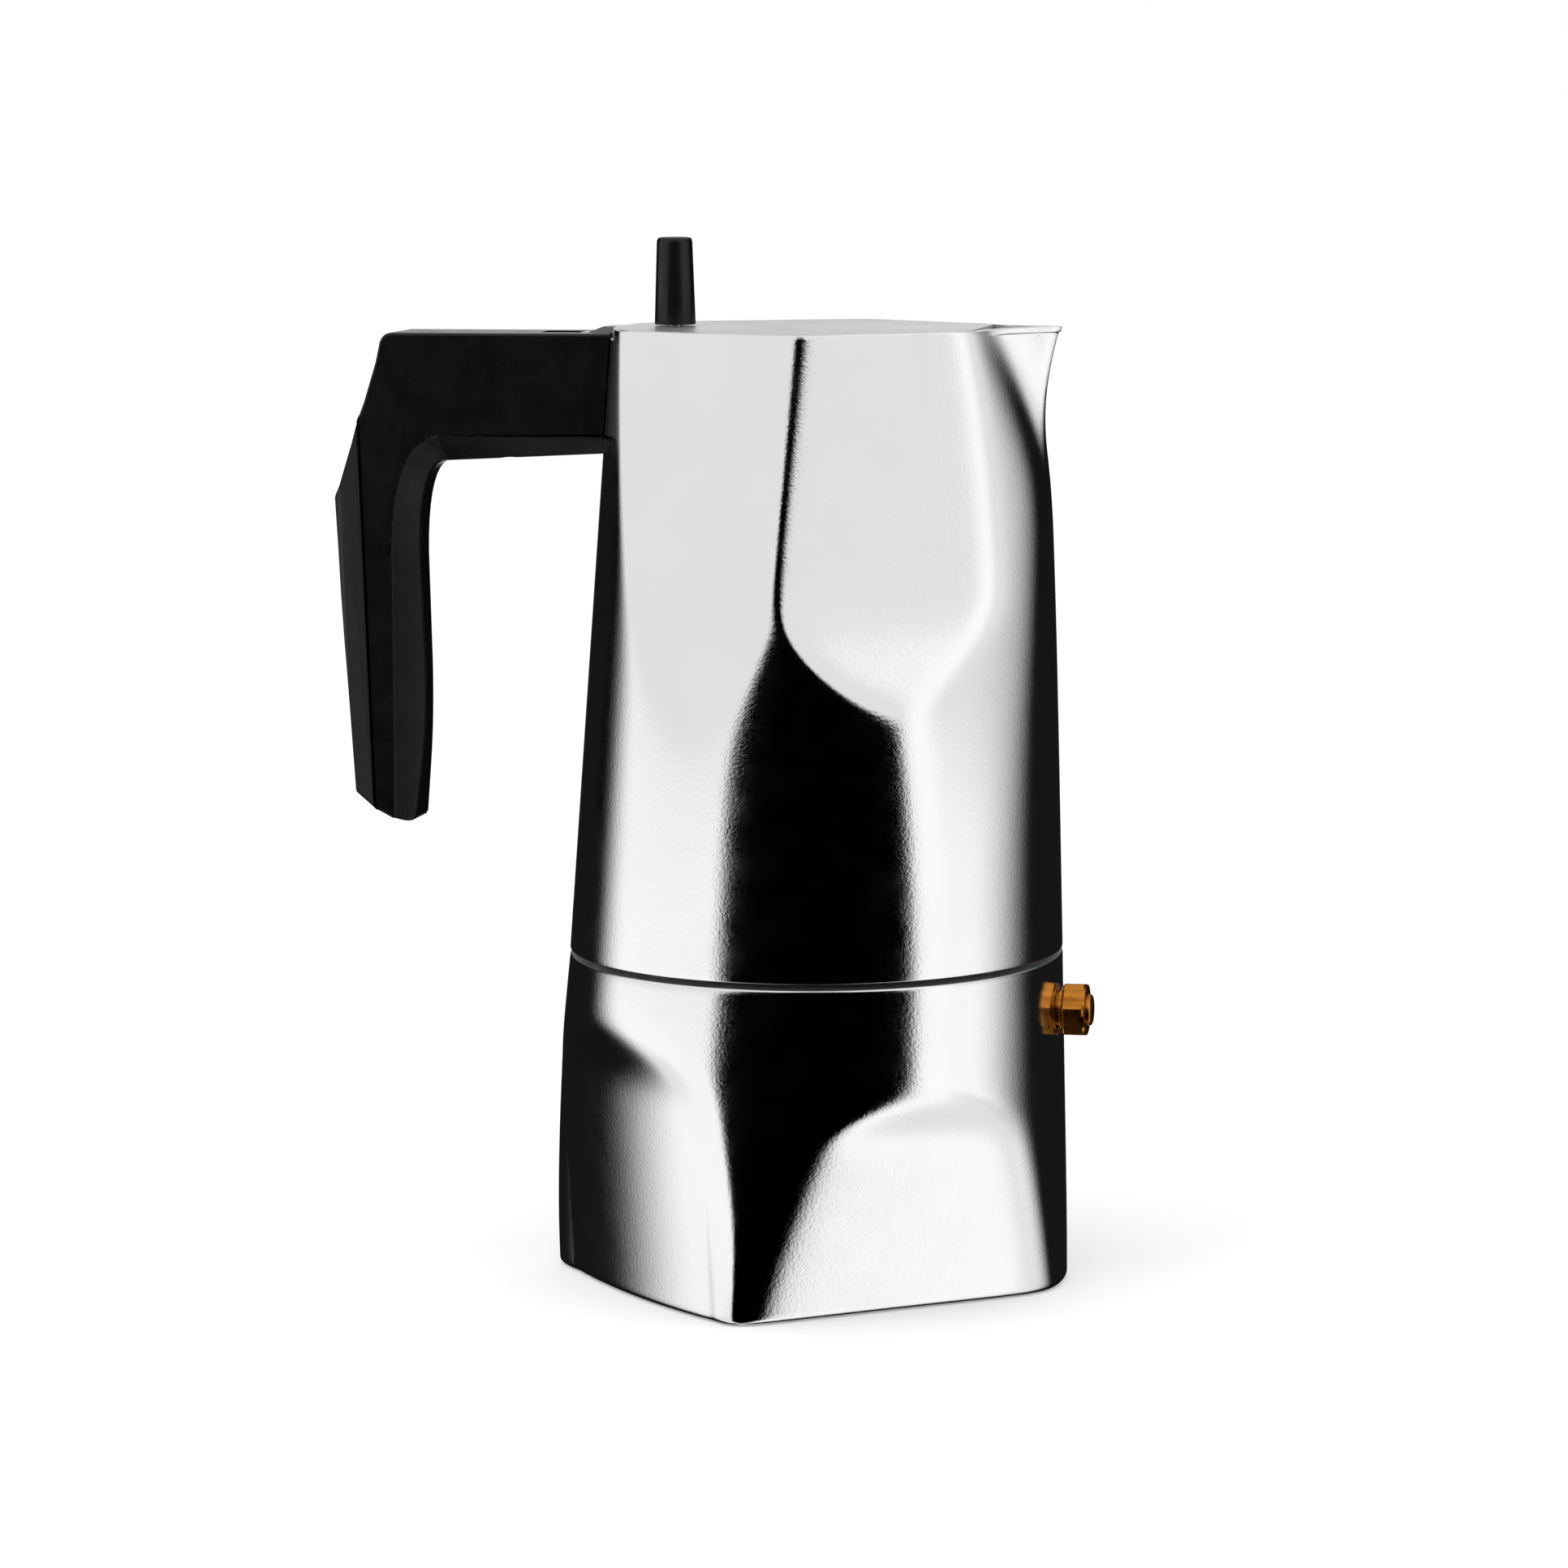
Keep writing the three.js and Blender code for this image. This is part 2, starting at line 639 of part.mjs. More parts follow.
// Knuckle of the hinge and the arm that joins it to the plate.
function lidLug() {
  const arm = shapeFrom([
    [-41, LID_BOTTOM],
    [-41, LID_TOP],
    [-45, LID_TOP],
    [HINGE_X + 1, HINGE_Z + KNUCKLE_RADIUS - 0.2],
    [HINGE_X - 1, HINGE_Z],
    [HINGE_X + 1, HINGE_Z - KNUCKLE_RADIUS + 0.2],
    [-44.6, 201.4],
    [-43.9, LID_BOTTOM],
  ]);
  const knuckle = new THREE.CylinderGeometry(
    KNUCKLE_RADIUS, KNUCKLE_RADIUS, 2 * LUG_HALF_WIDTH, SMALL_AROUND,
  ).translate(HINGE_X, 0, HINGE_Z);
  return toSolid(sideExtrusion(arm, -LUG_HALF_WIDTH, LUG_HALF_WIDTH)).add(toSolid(knuckle));
}

function lid() {
  const plate = mouthExtrusion(mouthOutline(GAP, 0, LID_END), LID_BOTTOM, LID_TOP);
  const screwHole = rod(KNOB_SCREW_RADIUS + GAP, LID_BOTTOM - 1, LID_TOP + 1)
    .translate(KNOB_X, 0, 0);
  const pinHole = new THREE.CylinderGeometry(
    HINGE_PIN_RADIUS + GAP, HINGE_PIN_RADIUS + GAP, 20, SMALL_AROUND,
  ).translate(HINGE_X, 0, HINGE_Z);
  const solid = toSolid(plate)
    .add(lidLug())
    .subtract(toSolid(screwHole))
    .subtract(toSolid(pinHole));
  return fromSolid(solid);
}

const PIN_NEAR_END = -7.5;
const PIN_FAR_END = 8.6;

function hingePin() {
  return new THREE.CylinderGeometry(
    HINGE_PIN_RADIUS, HINGE_PIN_RADIUS, PIN_FAR_END - PIN_NEAR_END, SMALL_AROUND,
  ).translate(HINGE_X, (PIN_NEAR_END + PIN_FAR_END) / 2, HINGE_Z);
}

// ---- Knob, on its own upright axis ----
const KNOB_BOTTOM = LID_TOP + GAP;
const KNOB_SOCKET = KNOB_BOTTOM + KNOB_WASHER_THICKNESS + GAP; // floor of the washer's room
const WASHER_OUTER = 3.5;

function knob() {
  return turned([
    [WASHER_OUTER + GAP, KNOB_SOCKET],
    [WASHER_OUTER + GAP, KNOB_BOTTOM],
    [KNOB_BASE_RADIUS, KNOB_BOTTOM],
    [KNOB_TIP_RADIUS, KNOB_TOP - 0.8],
    [KNOB_TIP_RADIUS - 0.8, KNOB_TOP],
    [0, KNOB_TOP],
    [0, KNOB_SCREW_TOP + 2],
    [KNOB_BORE, KNOB_SCREW_TOP + 2],
    [KNOB_BORE, KNOB_SOCKET],
    [WASHER_OUTER + GAP, KNOB_SOCKET],
  ], SMALL_AROUND);
}

function knobWasher() {
  const top = KNOB_BOTTOM + KNOB_WASHER_THICKNESS;
  return ring(KNOB_SCREW_RADIUS + GAP, WASHER_OUTER, KNOB_BOTTOM, top, SMALL_AROUND);
}

function knobInsert() {
  return ring(KNOB_SCREW_RADIUS + 0.3, KNOB_INSERT_RADIUS, KNOB_SOCKET, KNOB_SCREW_TOP - 1, SMALL_AROUND);
}

function knobScrew() {
  return turned([
    [0, KNOB_SCREW_BOTTOM],
    [SCREW_HEAD_RADIUS - 0.8, KNOB_SCREW_BOTTOM],
    [SCREW_HEAD_RADIUS, KNOB_SCREW_BOTTOM + 0.8],
    [SCREW_HEAD_RADIUS, LID_BOTTOM - GAP],
    [KNOB_SCREW_RADIUS, LID_BOTTOM - GAP],
    [KNOB_SCREW_RADIUS, KNOB_SCREW_TOP],
    [0, KNOB_SCREW_TOP],
  ], SMALL_AROUND);
}

// ---- Handle ----
function handleOutline() {
  const shape = new THREE.Shape();
  shape.moveTo(-35, 204);
  shape.lineTo(-91, 204);
  shape.quadraticCurveTo(-93.2, 203.7, -93.6, 201);
  shape.lineTo(-94.4, 197.5);
  shape.lineTo(-97.1, 189);
  shape.lineTo(-100.7, 180);
  shape.lineTo(-106.1, 168);
  shape.lineTo(-104.3, 134);
  shape.lineTo(-102, 103.4);
  shape.lineTo(-91.4, 98.5);
  shape.quadraticCurveTo(-90, 97.8, -89.2, 97.7);
  shape.quadraticCurveTo(-87.9, 97.6, -87.6, 99);
  shape.lineTo(-86.4, 110);
  shape.quadraticCurveTo(-85.3, 120, -85.5, 132);
  shape.lineTo(-86.2, 156);
  shape.quadraticCurveTo(-86.1, 175.9, -80.5, 176.2);
  shape.lineTo(-35, 178.6);
  shape.closePath();
  return shape;
}

// Cutter for a slanted flat along an edge of the handle's near side: it joins the line where the flat
// leaves the side face to a second outline, BEVEL_REACH deeper and further out.
function bevelCutter(sideOutline, deepOutline) {
  const geometry = new THREE.ExtrudeGeometry(shapeFrom(sideOutline), {
    depth: 2,
    steps: 2,
    bevelEnabled: false,
  });
  const position = geometry.attributes.position;
  for (let i = 0; i < position.count; i++) {
    const x = position.getX(i);
    const z = position.getY(i);
    const deep = position.getZ(i) === 0;
    const corner = sideOutline.findIndex(([a, b]) => hypot(a - x, b - z) < 1e-3);
    const [placeX, placeZ] = deep ? deepOutline[corner] : [x, z];
    const depth = deep ? BEVEL_REACH : 1 - position.getZ(i);
    position.setXYZ(i, placeX, HANDLE_HALF_WIDTH - depth, placeZ);
  }
  return toSolid(geometry);
}

// Flat along the back of the grip.
function rearBevel() {
  const side = [[-95.6, 90], [-99.2, 210], [-130, 210], [-130, 90]];
  const deep = side.map(([x, z]) => [x > -100 ? x - BEVEL_REACH : x, z]);
  return bevelCutter(side, deep);
}

// Points along a quadratic curve, both ends included.
function bend(start, control, end, count) {
  const curve = new THREE.QuadraticBezierCurve(
    new THREE.Vector2(...start), new THREE.Vector2(...control), new THREE.Vector2(...end),
  );
  return curve.getPoints(count).map((point) => [point.x, point.y]);
}

// Flat that runs up the inside of the grip and round the corner under the handle's upper bar.
function innerBevel() {
  const count = 6;
  const side = [[-91.6, 90], ...bend([-91.6, 156], [-91.2, 181.6], [-80.5, 182], count)];
  const deep = [[-84.6, 90], ...bend([-84.6, 158], [-84.3, 174.6], [-79.5, 175], count)];
  const far = [-30, 90];
  return bevelCutter([...side, [-30, 182], far], [...deep, [-30, 175], far]);
}

function mirrored(solid) {
  return toSolid(fromSolid(solid).scale(1, -1, 1));
}

function handle() {
  const blank = toSolid(sideExtrusion(handleOutline(), -HANDLE_HALF_WIDTH, HANDLE_HALF_WIDTH));
  const slot = block(SLOT_END, -30, -LUG_HALF_WIDTH - 0.5, LUG_HALF_WIDTH + 0.5, SLOT_BOTTOM, 210);
  const pocket = block(TANG_END - GAP, -30, -TANG_HALF_WIDTH - GAP, TANG_HALF_WIDTH + GAP,
    TANG_BOTTOM - GAP, TANG_TOP + GAP);
  const screwHole = rod(HANDLE_SCREW_RADIUS + GAP, 170, TANG_TOP).translate(HANDLE_SCREW_X, 0, 0);
  const headRecess = rod(4, 170, HANDLE_BOTTOM_AT_SCREW + 3.3).translate(HANDLE_SCREW_X, 0, 0);
  const insertRoom = rod(HANDLE_INSERT_RADIUS + 0.3, TANG_TOP, HANDLE_INSERT_TOP + 0.4)
    .translate(HANDLE_SCREW_X, 0, 0);
  const pinHole = new THREE.CylinderGeometry(
    HINGE_PIN_RADIUS + 0.3, HINGE_PIN_RADIUS + 0.3, 17, SMALL_AROUND,
  ).translate(HINGE_X, 0.7, HINGE_Z);
  const cuts = [slot, pocket, screwHole, headRecess, insertRoom, pinHole].map(toSolid);
  const bevels = [rearBevel(), innerBevel()];
  cuts.push(...bevels, ...bevels.map(mirrored), jugEnvelope(0.4));
  return fromSolid(cuts.reduce((solid, cut) => solid.subtract(cut), blank));
}

function handleScrew() {
  const headBottom = HANDLE_BOTTOM_AT_SCREW + 0.4;
  return turned([
    [0, headBottom],
    [SCREW_HEAD_RADIUS, headBottom],
    [SCREW_HEAD_RADIUS, headBottom + 2.5],
    [HANDLE_SCREW_RADIUS, headBottom + 2.5],
    [HANDLE_SCREW_RADIUS, HANDLE_SCREW_TOP],
    [0, HANDLE_SCREW_TOP],
  ], SMALL_AROUND);
}

function handleInsert() {
  const bore = HANDLE_SCREW_RADIUS + 0.3;
  return ring(bore, HANDLE_INSERT_RADIUS, TANG_TOP + 0.7, HANDLE_INSERT_TOP, SMALL_AROUND);
}

// ---- Scene graph ----
function mesh(name, geometry, look) {
  const made = new THREE.Mesh(geometry, new THREE.MeshStandardMaterial(look));
  made.name = name;
  return made;
}

function group(...children) {
  return new THREE.Group().add(...children);
}

const safetyValve = group(
  mesh("valve_body", valveBody(), BRASS),
  mesh("valve_washer", valveWasher(), BRASS),
  mesh("valve_seat", valveSeat(), BRASS),
  mesh("valve_stem", valveStem(), BRASS),
  mesh("valve_spring", valveSpring(), STEEL),
);

const funnel = group(
  mesh("funnel_bowl", funnelBowl(), SATIN_ALUMINIUM),
  mesh("funnel_tube", funnelTube(), SATIN_ALUMINIUM),
  mesh("funnel_sieve", funnelSieve(), SATIN_ALUMINIUM),
);

const seal = group(
  mesh("gasket", gasket(), SILICONE),
  mesh("filter_plate", filterPlate(), SATIN_ALUMINIUM),
);

const grip = group(
  mesh("handle", handle(), BLACK_PLASTIC),
  mesh("handle_screw", handleScrew(), STEEL),
  mesh("handle_insert", handleInsert(), BRASS),
);
for (const name of ["handle_screw", "handle_insert"]) {
  grip.getObjectByName(name).position.x = HANDLE_SCREW_X;
}

const lidKnob = group(
  mesh("knob", knob(), BLACK_PLASTIC),
  mesh("knob_washer", knobWasher(), STEEL),
  mesh("knob_insert", knobInsert(), BRASS),
  mesh("knob_screw", knobScrew(), STEEL),
);
lidKnob.position.x = KNOB_X;

const mokaPot = group(
  mesh("boiler", boiler(), POLISHED_ALUMINIUM),
  safetyValve,
  funnel,
  seal,
  mesh("jug", jug(), POLISHED_ALUMINIUM),
  mesh("hinge_pin", hingePin(), STEEL),
  grip,
  mesh("lid", lid(), SATIN_ALUMINIUM),
  lidKnob,
);

export default mokaPot;
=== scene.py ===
"""Visual model of a six-cup stovetop moka pot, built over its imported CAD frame.

Lengths are millimetres until a mesh is made. +X is the spout, -X the handle, +Z up, and the
pot mirrors across Y = 0. Every CAD node is stood for by one finer piece of the same shape.
"""

import json
import math

import bmesh
import bpy
import numpy as np
from mathutils import Matrix, Vector


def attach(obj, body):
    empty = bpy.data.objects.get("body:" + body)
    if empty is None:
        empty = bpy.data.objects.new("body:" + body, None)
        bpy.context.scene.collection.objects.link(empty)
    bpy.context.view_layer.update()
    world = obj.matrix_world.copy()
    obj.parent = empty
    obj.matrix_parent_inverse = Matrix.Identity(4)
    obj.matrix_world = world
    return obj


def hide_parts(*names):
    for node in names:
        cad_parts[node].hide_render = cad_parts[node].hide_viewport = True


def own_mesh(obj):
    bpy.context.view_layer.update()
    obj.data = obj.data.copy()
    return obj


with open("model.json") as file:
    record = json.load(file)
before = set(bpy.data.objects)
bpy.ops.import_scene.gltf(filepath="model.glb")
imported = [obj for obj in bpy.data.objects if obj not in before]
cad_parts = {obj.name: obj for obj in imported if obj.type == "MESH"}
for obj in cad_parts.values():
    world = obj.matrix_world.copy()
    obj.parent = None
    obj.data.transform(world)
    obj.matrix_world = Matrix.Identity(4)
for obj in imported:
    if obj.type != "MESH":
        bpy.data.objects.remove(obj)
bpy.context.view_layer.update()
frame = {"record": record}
MM = 0.001
COLUMNS = 480  # vertices around a large casting
THETA = np.linspace(-math.pi, math.pi, COLUMNS, endpoint=False)

# ---------------------------------------------------------------- sizes
# As in the CAD source, except for HOLLOW and the beak's sides, which follow the photograph a little
# more closely here.
GAP = 0.35  # clearance between neighbouring pieces
BOILER_TOP, NECK_TOP, NECK_BORE = 71.0, 83.0, 40.5
JUG_BOTTOM, LID_LEDGE, RIM = 72.3, 203.0, 205.2
LID_BOTTOM, LID_TOP, LID_END, RIM_LIP = 203.35, 205.3, 37.0, 1.2
FLAT_TOP, SPOUT_TIP_TOP, KNOB_TOP = 205.6, 205.6, 224.3
RING_RADIUS, RING_FRONT, BACK_SLOPE, FRONT_SLOPE = 53.0, 53.4, 0.0774, 0.018
FOOT_FRONT, FOOT_BACK, BACK_CURVE = 54.6, 58.6, 1.4
JUG_WALL, BOILER_WALL = 3.0, 4.0
# azimuth of the normal, distance from the axis at a height, growth with height, closing ramp,
# and the radius it is crowned with
BOILER_FRONT_FLAT = (53.5, 41.7, 0.0, 0.19, (53.4, 45.4, 0.7), 0)
BOILER_REAR_FLAT = (136.5, 46.6, 0.0, 0.055, (53.3, 57.5, 0.5), 170)
JUG_FRONT_FLAT = (56.5, 34.9, FLAT_TOP, -0.127, (51.0, 129.5, -0.52), 0)
JUG_REAR_FLAT = (112.0, 34.4, FLAT_TOP, -0.195, None, 0)
CHEEK = (38.0, 40.1, FLAT_TOP, -0.14, None, 0)  # between the front flat and the spout
HOLLOW = (10.0, 42.0, FLAT_TOP, -0.33, None, 0)  # sets the beak off from the cheek
CROWN_REACH = 30.0
# how far corners are rounded over
RAMP_BLEND, BAND_BLEND, CHEEK_BLEND, VALLEY_BLEND = 1.2, 0.7, 2.0, 2.0
RIDGE_BLEND_LOW, RIDGE_BLEND_TOP, KEEL_BLEND_LOW, KEEL_BLEND_TOP = 0.9, 1.8, 4.0, 1.3
BLENDS_CHANGE = 150.0  # height from which the ridge's and the keel's rounding change
FOOT_BLEND, FOOT_BLEND_END = 1.4, 55.0
BEAK_START, BEAK_ROOT, BEAK_FLARE, BEAK_ENTRY = 178.0, 49.3, 4.1, 2.3
BEAK_SIDE, BEAK_FADES, BEAK_ENDS = math.radians(56), math.radians(38), math.radians(56)
SPOUT_LIFT_START, SPOUT_LIFT_WIDTH = 196.0, math.radians(24)
HINGE_X, HINGE_Z, HINGE_HALF_WIDTH = -50.0, 201.0, 3.3
KNOB_X, HANDLE_SCREW_X, HANDLE_HALF_WIDTH, BEVEL_REACH = -30.0, -66.0, 9.0, 7.0
VALVE_Z = 59.5
THREAD_PITCH, THREAD_FADE = 3.0, 1.5
NECK_RADIUS, NECK_THREAD = 46.15, (71.6, 82.6)  # crests of the neck's thread, and its two ends
JUG_THREAD_RADIUS, JUG_THREAD = 46.6, (73.2, 83.6)  # the same inside the jug
HOLE_RADIUS, HOLE_RINGS = 1.0, 3


# ---------------------------------------------------------------- shape of the casting
def soft_min(k, values):
    """Smallest of the values, with the corners between them rounded over about k."""
    v = np.array(np.broadcast_arrays(*values), float)
    least = v.min(0)
    return least - k * np.log(np.exp((least - v) / k).sum(0))


def soft_max(k, values):
    return -soft_min(k, [-np.asarray(v, float) for v in values])


def smoothstep(x, low, high):
    t = np.clip((np.asarray(x, float) - low) / (high - low), 0, 1)
    return t * t * (3 - 2 * t)


def mix(low, high, share):
    return low + (high - low) * share


def circle_ray(theta, centre, radius):
    """Distance from the axis, along azimuth theta, to a circle centred on X."""
    return centre * np.cos(theta) + np.sqrt(radius**2 - (centre * np.sin(theta)) ** 2)


def plane_ray(theta, azimuth, distance):
    """The same to an upright plane."""
    facing = np.cos(theta - azimuth)
    return np.where(facing > 0.1, distance / np.maximum(facing, 0.1), 1000.0)


def flat_rays(flat, theta, z):
    azimuth, distance, at, slope, ramp, crown = flat
    d = distance + slope * (z - at)
    if ramp:
        d = soft_max(RAMP_BLEND, [d, ramp[0] + ramp[2] * (z - ramp[1])])
    rays = [plane_ray(theta, side * math.radians(azimuth), d) for side in (-1, 1)]
    if crown:
        rays = [r - np.minimum(np.maximum(0, r**2 - d**2), CROWN_REACH**2) / (2 * crown) for r in rays]
    return rays


def boiler_radius(theta, z):
    rise = np.maximum(0.0, z / BOILER_TOP)
    front = mix(FOOT_FRONT, RING_FRONT, rise)
    back = mix(FOOT_BACK, RING_RADIUS, rise**BACK_CURVE)
    rays = [circle_ray(theta, (front - back) / 2, (front + back) / 2)]
    rays += flat_rays(BOILER_FRONT_FLAT, theta, z) + flat_rays(BOILER_REAR_FLAT, theta, z)
    return soft_min(1 + FOOT_BLEND * np.maximum(0.0, 1 - z / FOOT_BLEND_END), rays)


def beak_ray(theta, z):
    t = (z - BEAK_START) / (SPOUT_TIP_TOP - BEAK_START)
    keel = BEAK_ROOT + np.where(t > 0, BEAK_FLARE, -BEAK_ENTRY) * t * t
    blend = mix(KEEL_BLEND_LOW, KEEL_BLEND_TOP, smoothstep(z, BLENDS_CHANGE, FLAT_TOP))
    d = (keel + blend * math.log(2)) * math.cos(BEAK_SIDE)
    rays = soft_min(blend, [plane_ray(theta, side * BEAK_SIDE, d) for side in (1, -1)])
    return rays * (1 - smoothstep(np.abs(theta), BEAK_FADES, BEAK_ENDS))


def jug_radius(theta, z):
    front = RING_FRONT - FRONT_SLOPE * (z - JUG_BOTTOM)
    back = RING_RADIUS - BACK_SLOPE * (z - JUG_BOTTOM)
    round_ = circle_ray(theta, (front - back) / 2, (front + back) / 2)
    ridge = mix(RIDGE_BLEND_LOW, RIDGE_BLEND_TOP, smoothstep(z, BLENDS_CHANGE, FLAT_TOP))
    flats = soft_min(ridge, flat_rays(JUG_FRONT_FLAT, theta, z) + flat_rays(JUG_REAR_FLAT, theta, z))
    cheeks = flat_rays(CHEEK, theta, z) + flat_rays(HOLLOW, theta, z)
    body = soft_min(BAND_BLEND, [soft_min(CHEEK_BLEND, [round_] + cheeks), flats])
    return soft_max(VALLEY_BLEND, [body, beak_ray(theta, z)])


def spout_lift(theta, z):
    near = 1 - smoothstep(np.abs(theta), 0, SPOUT_LIFT_WIDTH)
    share = np.clip((z - SPOUT_LIFT_START) / (RIM - SPOUT_LIFT_START), 0, 1)
    return (SPOUT_TIP_TOP - RIM) * near * share


def thread(theta, z, low, high):
    """0 at the crest and 1 at the root of a right-handed thread, faded out at both ends."""
    wave = 0.5 - 0.5 * np.cos(2 * math.pi * z / THREAD_PITCH - theta)
    starts, ends = smoothstep(z, low, low + THREAD_FADE), smoothstep(z, high - THREAD_FADE, high)
    return wave * float(starts * (1 - ends))


# ---------------------------------------------------------------- mesh making
def new_object(name, vertices, faces):
    mesh = bpy.data.meshes.new(name)
    mesh.from_pydata((np.asarray(vertices) * MM).tolist(), [], faces)
    bm = bmesh.new()
    bm.from_mesh(mesh)
    if bm.calc_volume(signed=True) < 0:
        bmesh.ops.reverse_faces(bm, faces=bm.faces[:])
    bm.to_mesh(mesh)
    bm.free()
    made = bpy.data.objects.new(name, mesh)
    bpy.context.scene.collection.objects.link(made)
    return made


def shell(name, rows, theta=THETA, closed=False):
    """Surface through rings of vertices about Z. A row is (radius, height), each a number or one
    value for every angle, and a radius of 0 is a pole."""
    count = len(theta)
    vertices, rings = [], []
    for radius, z in rows:
        if np.isscalar(radius) and radius == 0:
            rings.append((len(vertices), 1))
            vertices.append((0.0, 0.0, float(z)))
            continue
        rings.append((len(vertices), count))
        r, h = np.broadcast_to(radius, count), np.broadcast_to(z, count)
        vertices.extend(zip(r * np.cos(theta), r * np.sin(theta), h))
    faces = []
    pairs = list(zip(rings, rings[1:])) + ([(rings[-1], rings[0])] if closed else [])
    for (a, na), (b, nb) in pairs:
        for i in range(count):
            j = (i + 1) % count
            if na == 1:
                faces.append((a, b + i, b + j))
            elif nb == 1:
                faces.append((a + i, b, a + j))
            else:
                faces.append((a + i, b + i, b + j, a + j))
    return new_object(name, vertices, faces)


def rounded(points, closed=False, steps=4):
    """Profile whose corners are rounded. A point is (r, z) or (r, z, corner radius)."""
    out, n = [], len(points)
    for i, point in enumerate(points):
        p = np.array(point[:2], float)
        reach = point[2] if len(point) > 2 else 0
        if not reach or (not closed and i in (0, n - 1)):
            out.append(tuple(p))
            continue
        before = np.array(points[i - 1][:2], float) - p
        after = np.array(points[(i + 1) % n][:2], float) - p
        lb, la = np.linalg.norm(before), np.linalg.norm(after)
        a = p + before * min(reach / lb, 0.48)
        b = p + after * min(reach / la, 0.48)
        for s in np.linspace(0, 1, steps + 1):
            out.append(tuple((1 - s) ** 2 * a + 2 * s * (1 - s) * p + s * s * b))
    return out


def onto_valve_axis(made):
    turn = Matrix.Rotation(math.pi / 2, 4, "Y")
    made.data.transform(Matrix.Translation((0, 0, VALVE_Z * MM)) @ turn)


def turned(name, points, columns=96, closed=False, at=(0, 0), along_x=False):
    """Turned piece about an upright axis at (x, y), or about the valve's own axis along X."""
    theta = np.linspace(-math.pi, math.pi, columns, endpoint=False)
    made = shell(name, rounded(points, closed), theta, closed)
    if along_x:
        onto_valve_axis(made)
    else:
        made.data.transform(Matrix.Translation((at[0] * MM, at[1] * MM, 0)))
    return made


def prism(name, outline, y0, y1):
    """Outline of (x, z) points, thick along Y."""
    n = len(outline)
    vertices = [(x, y, z) for y in (y0, y1) for x, z in outline]
    faces = [tuple(range(n)), tuple(range(2 * n - 1, n - 1, -1))]
    faces += [(i, n + i, n + (i + 1) % n, (i + 1) % n) for i in range(n)]
    return new_object(name, vertices, faces)


def slab(name, outline, z0, z1):
    """Outline of (x, y) points, thick along Z."""
    made = prism(name, [(x, -y) for x, y in outline], z0, z1)
    made.data.transform(Matrix.Rotation(math.pi / 2, 4, "X"))
    return made


def block(name, x0, x1, y0, y1, z0, z1):
    return prism(name, [(x0, z0), (x1, z0), (x1, z1), (x0, z1)], y0, y1)


def cross_rod(name, x, z, radius, y0, y1, chamfer=0.0):
    """Rod along Y."""
    profile = [(0, y0), (radius, y0, chamfer), (radius, y1, chamfer), (0, y1)]
    theta = np.linspace(-math.pi, math.pi, 48, endpoint=False)
    made = shell(name, rounded(profile), theta)
    made.data.transform(Matrix.Translation((x * MM, 0, z * MM)) @ Matrix.Rotation(-math.pi / 2, 4, "X"))
    return made


def bake(obj):
    """The modifiers' result becomes the mesh."""
    graph = bpy.context.evaluated_depsgraph_get()
    mesh = bpy.data.meshes.new_from_object(obj.evaluated_get(graph))
    obj.modifiers.clear()
    obj.data = mesh
    return obj


def combine(obj, tool, operation="DIFFERENCE", keep=False):
    modifier = obj.modifiers.new("join", "BOOLEAN")
    modifier.operation, modifier.object, modifier.solver = operation, tool, "MANIFOLD"
    bake(obj)
    if not keep:
        bpy.data.objects.remove(tool)
    return obj


def soften(obj, width, segments=3, angle=25):
    bevel = obj.modifiers.new("edge", "BEVEL")
    bevel.width, bevel.segments, bevel.use_clamp_overlap = width * MM, segments, False
    bevel.limit_method, bevel.angle_limit = "ANGLE", math.radians(angle)
    return bake(obj)


def shade(obj, angle=35, weighted=False):
    obj.data.polygons.foreach_set("use_smooth", np.ones(len(obj.data.polygons), bool))
    obj.data.set_sharp_from_angle(angle=math.radians(angle))
    if weighted:
        normal = obj.modifiers.new("normals", "WEIGHTED_NORMAL")
        normal.keep_sharp = True
    return obj


def merge_close(obj):
    """Joins the faces that Blender's curve fill leaves apart."""
    bm = bmesh.new()
    bm.from_mesh(obj.data)
    bmesh.ops.remove_doubles(bm, verts=bm.verts[:], dist=1e-7)
    bm.to_mesh(obj.data)
    bm.free()
    return obj


# ---------------------------------------------------------------- materials
RANGE_SOCKETS = ("From Min", "From Max", "To Min", "To Max")


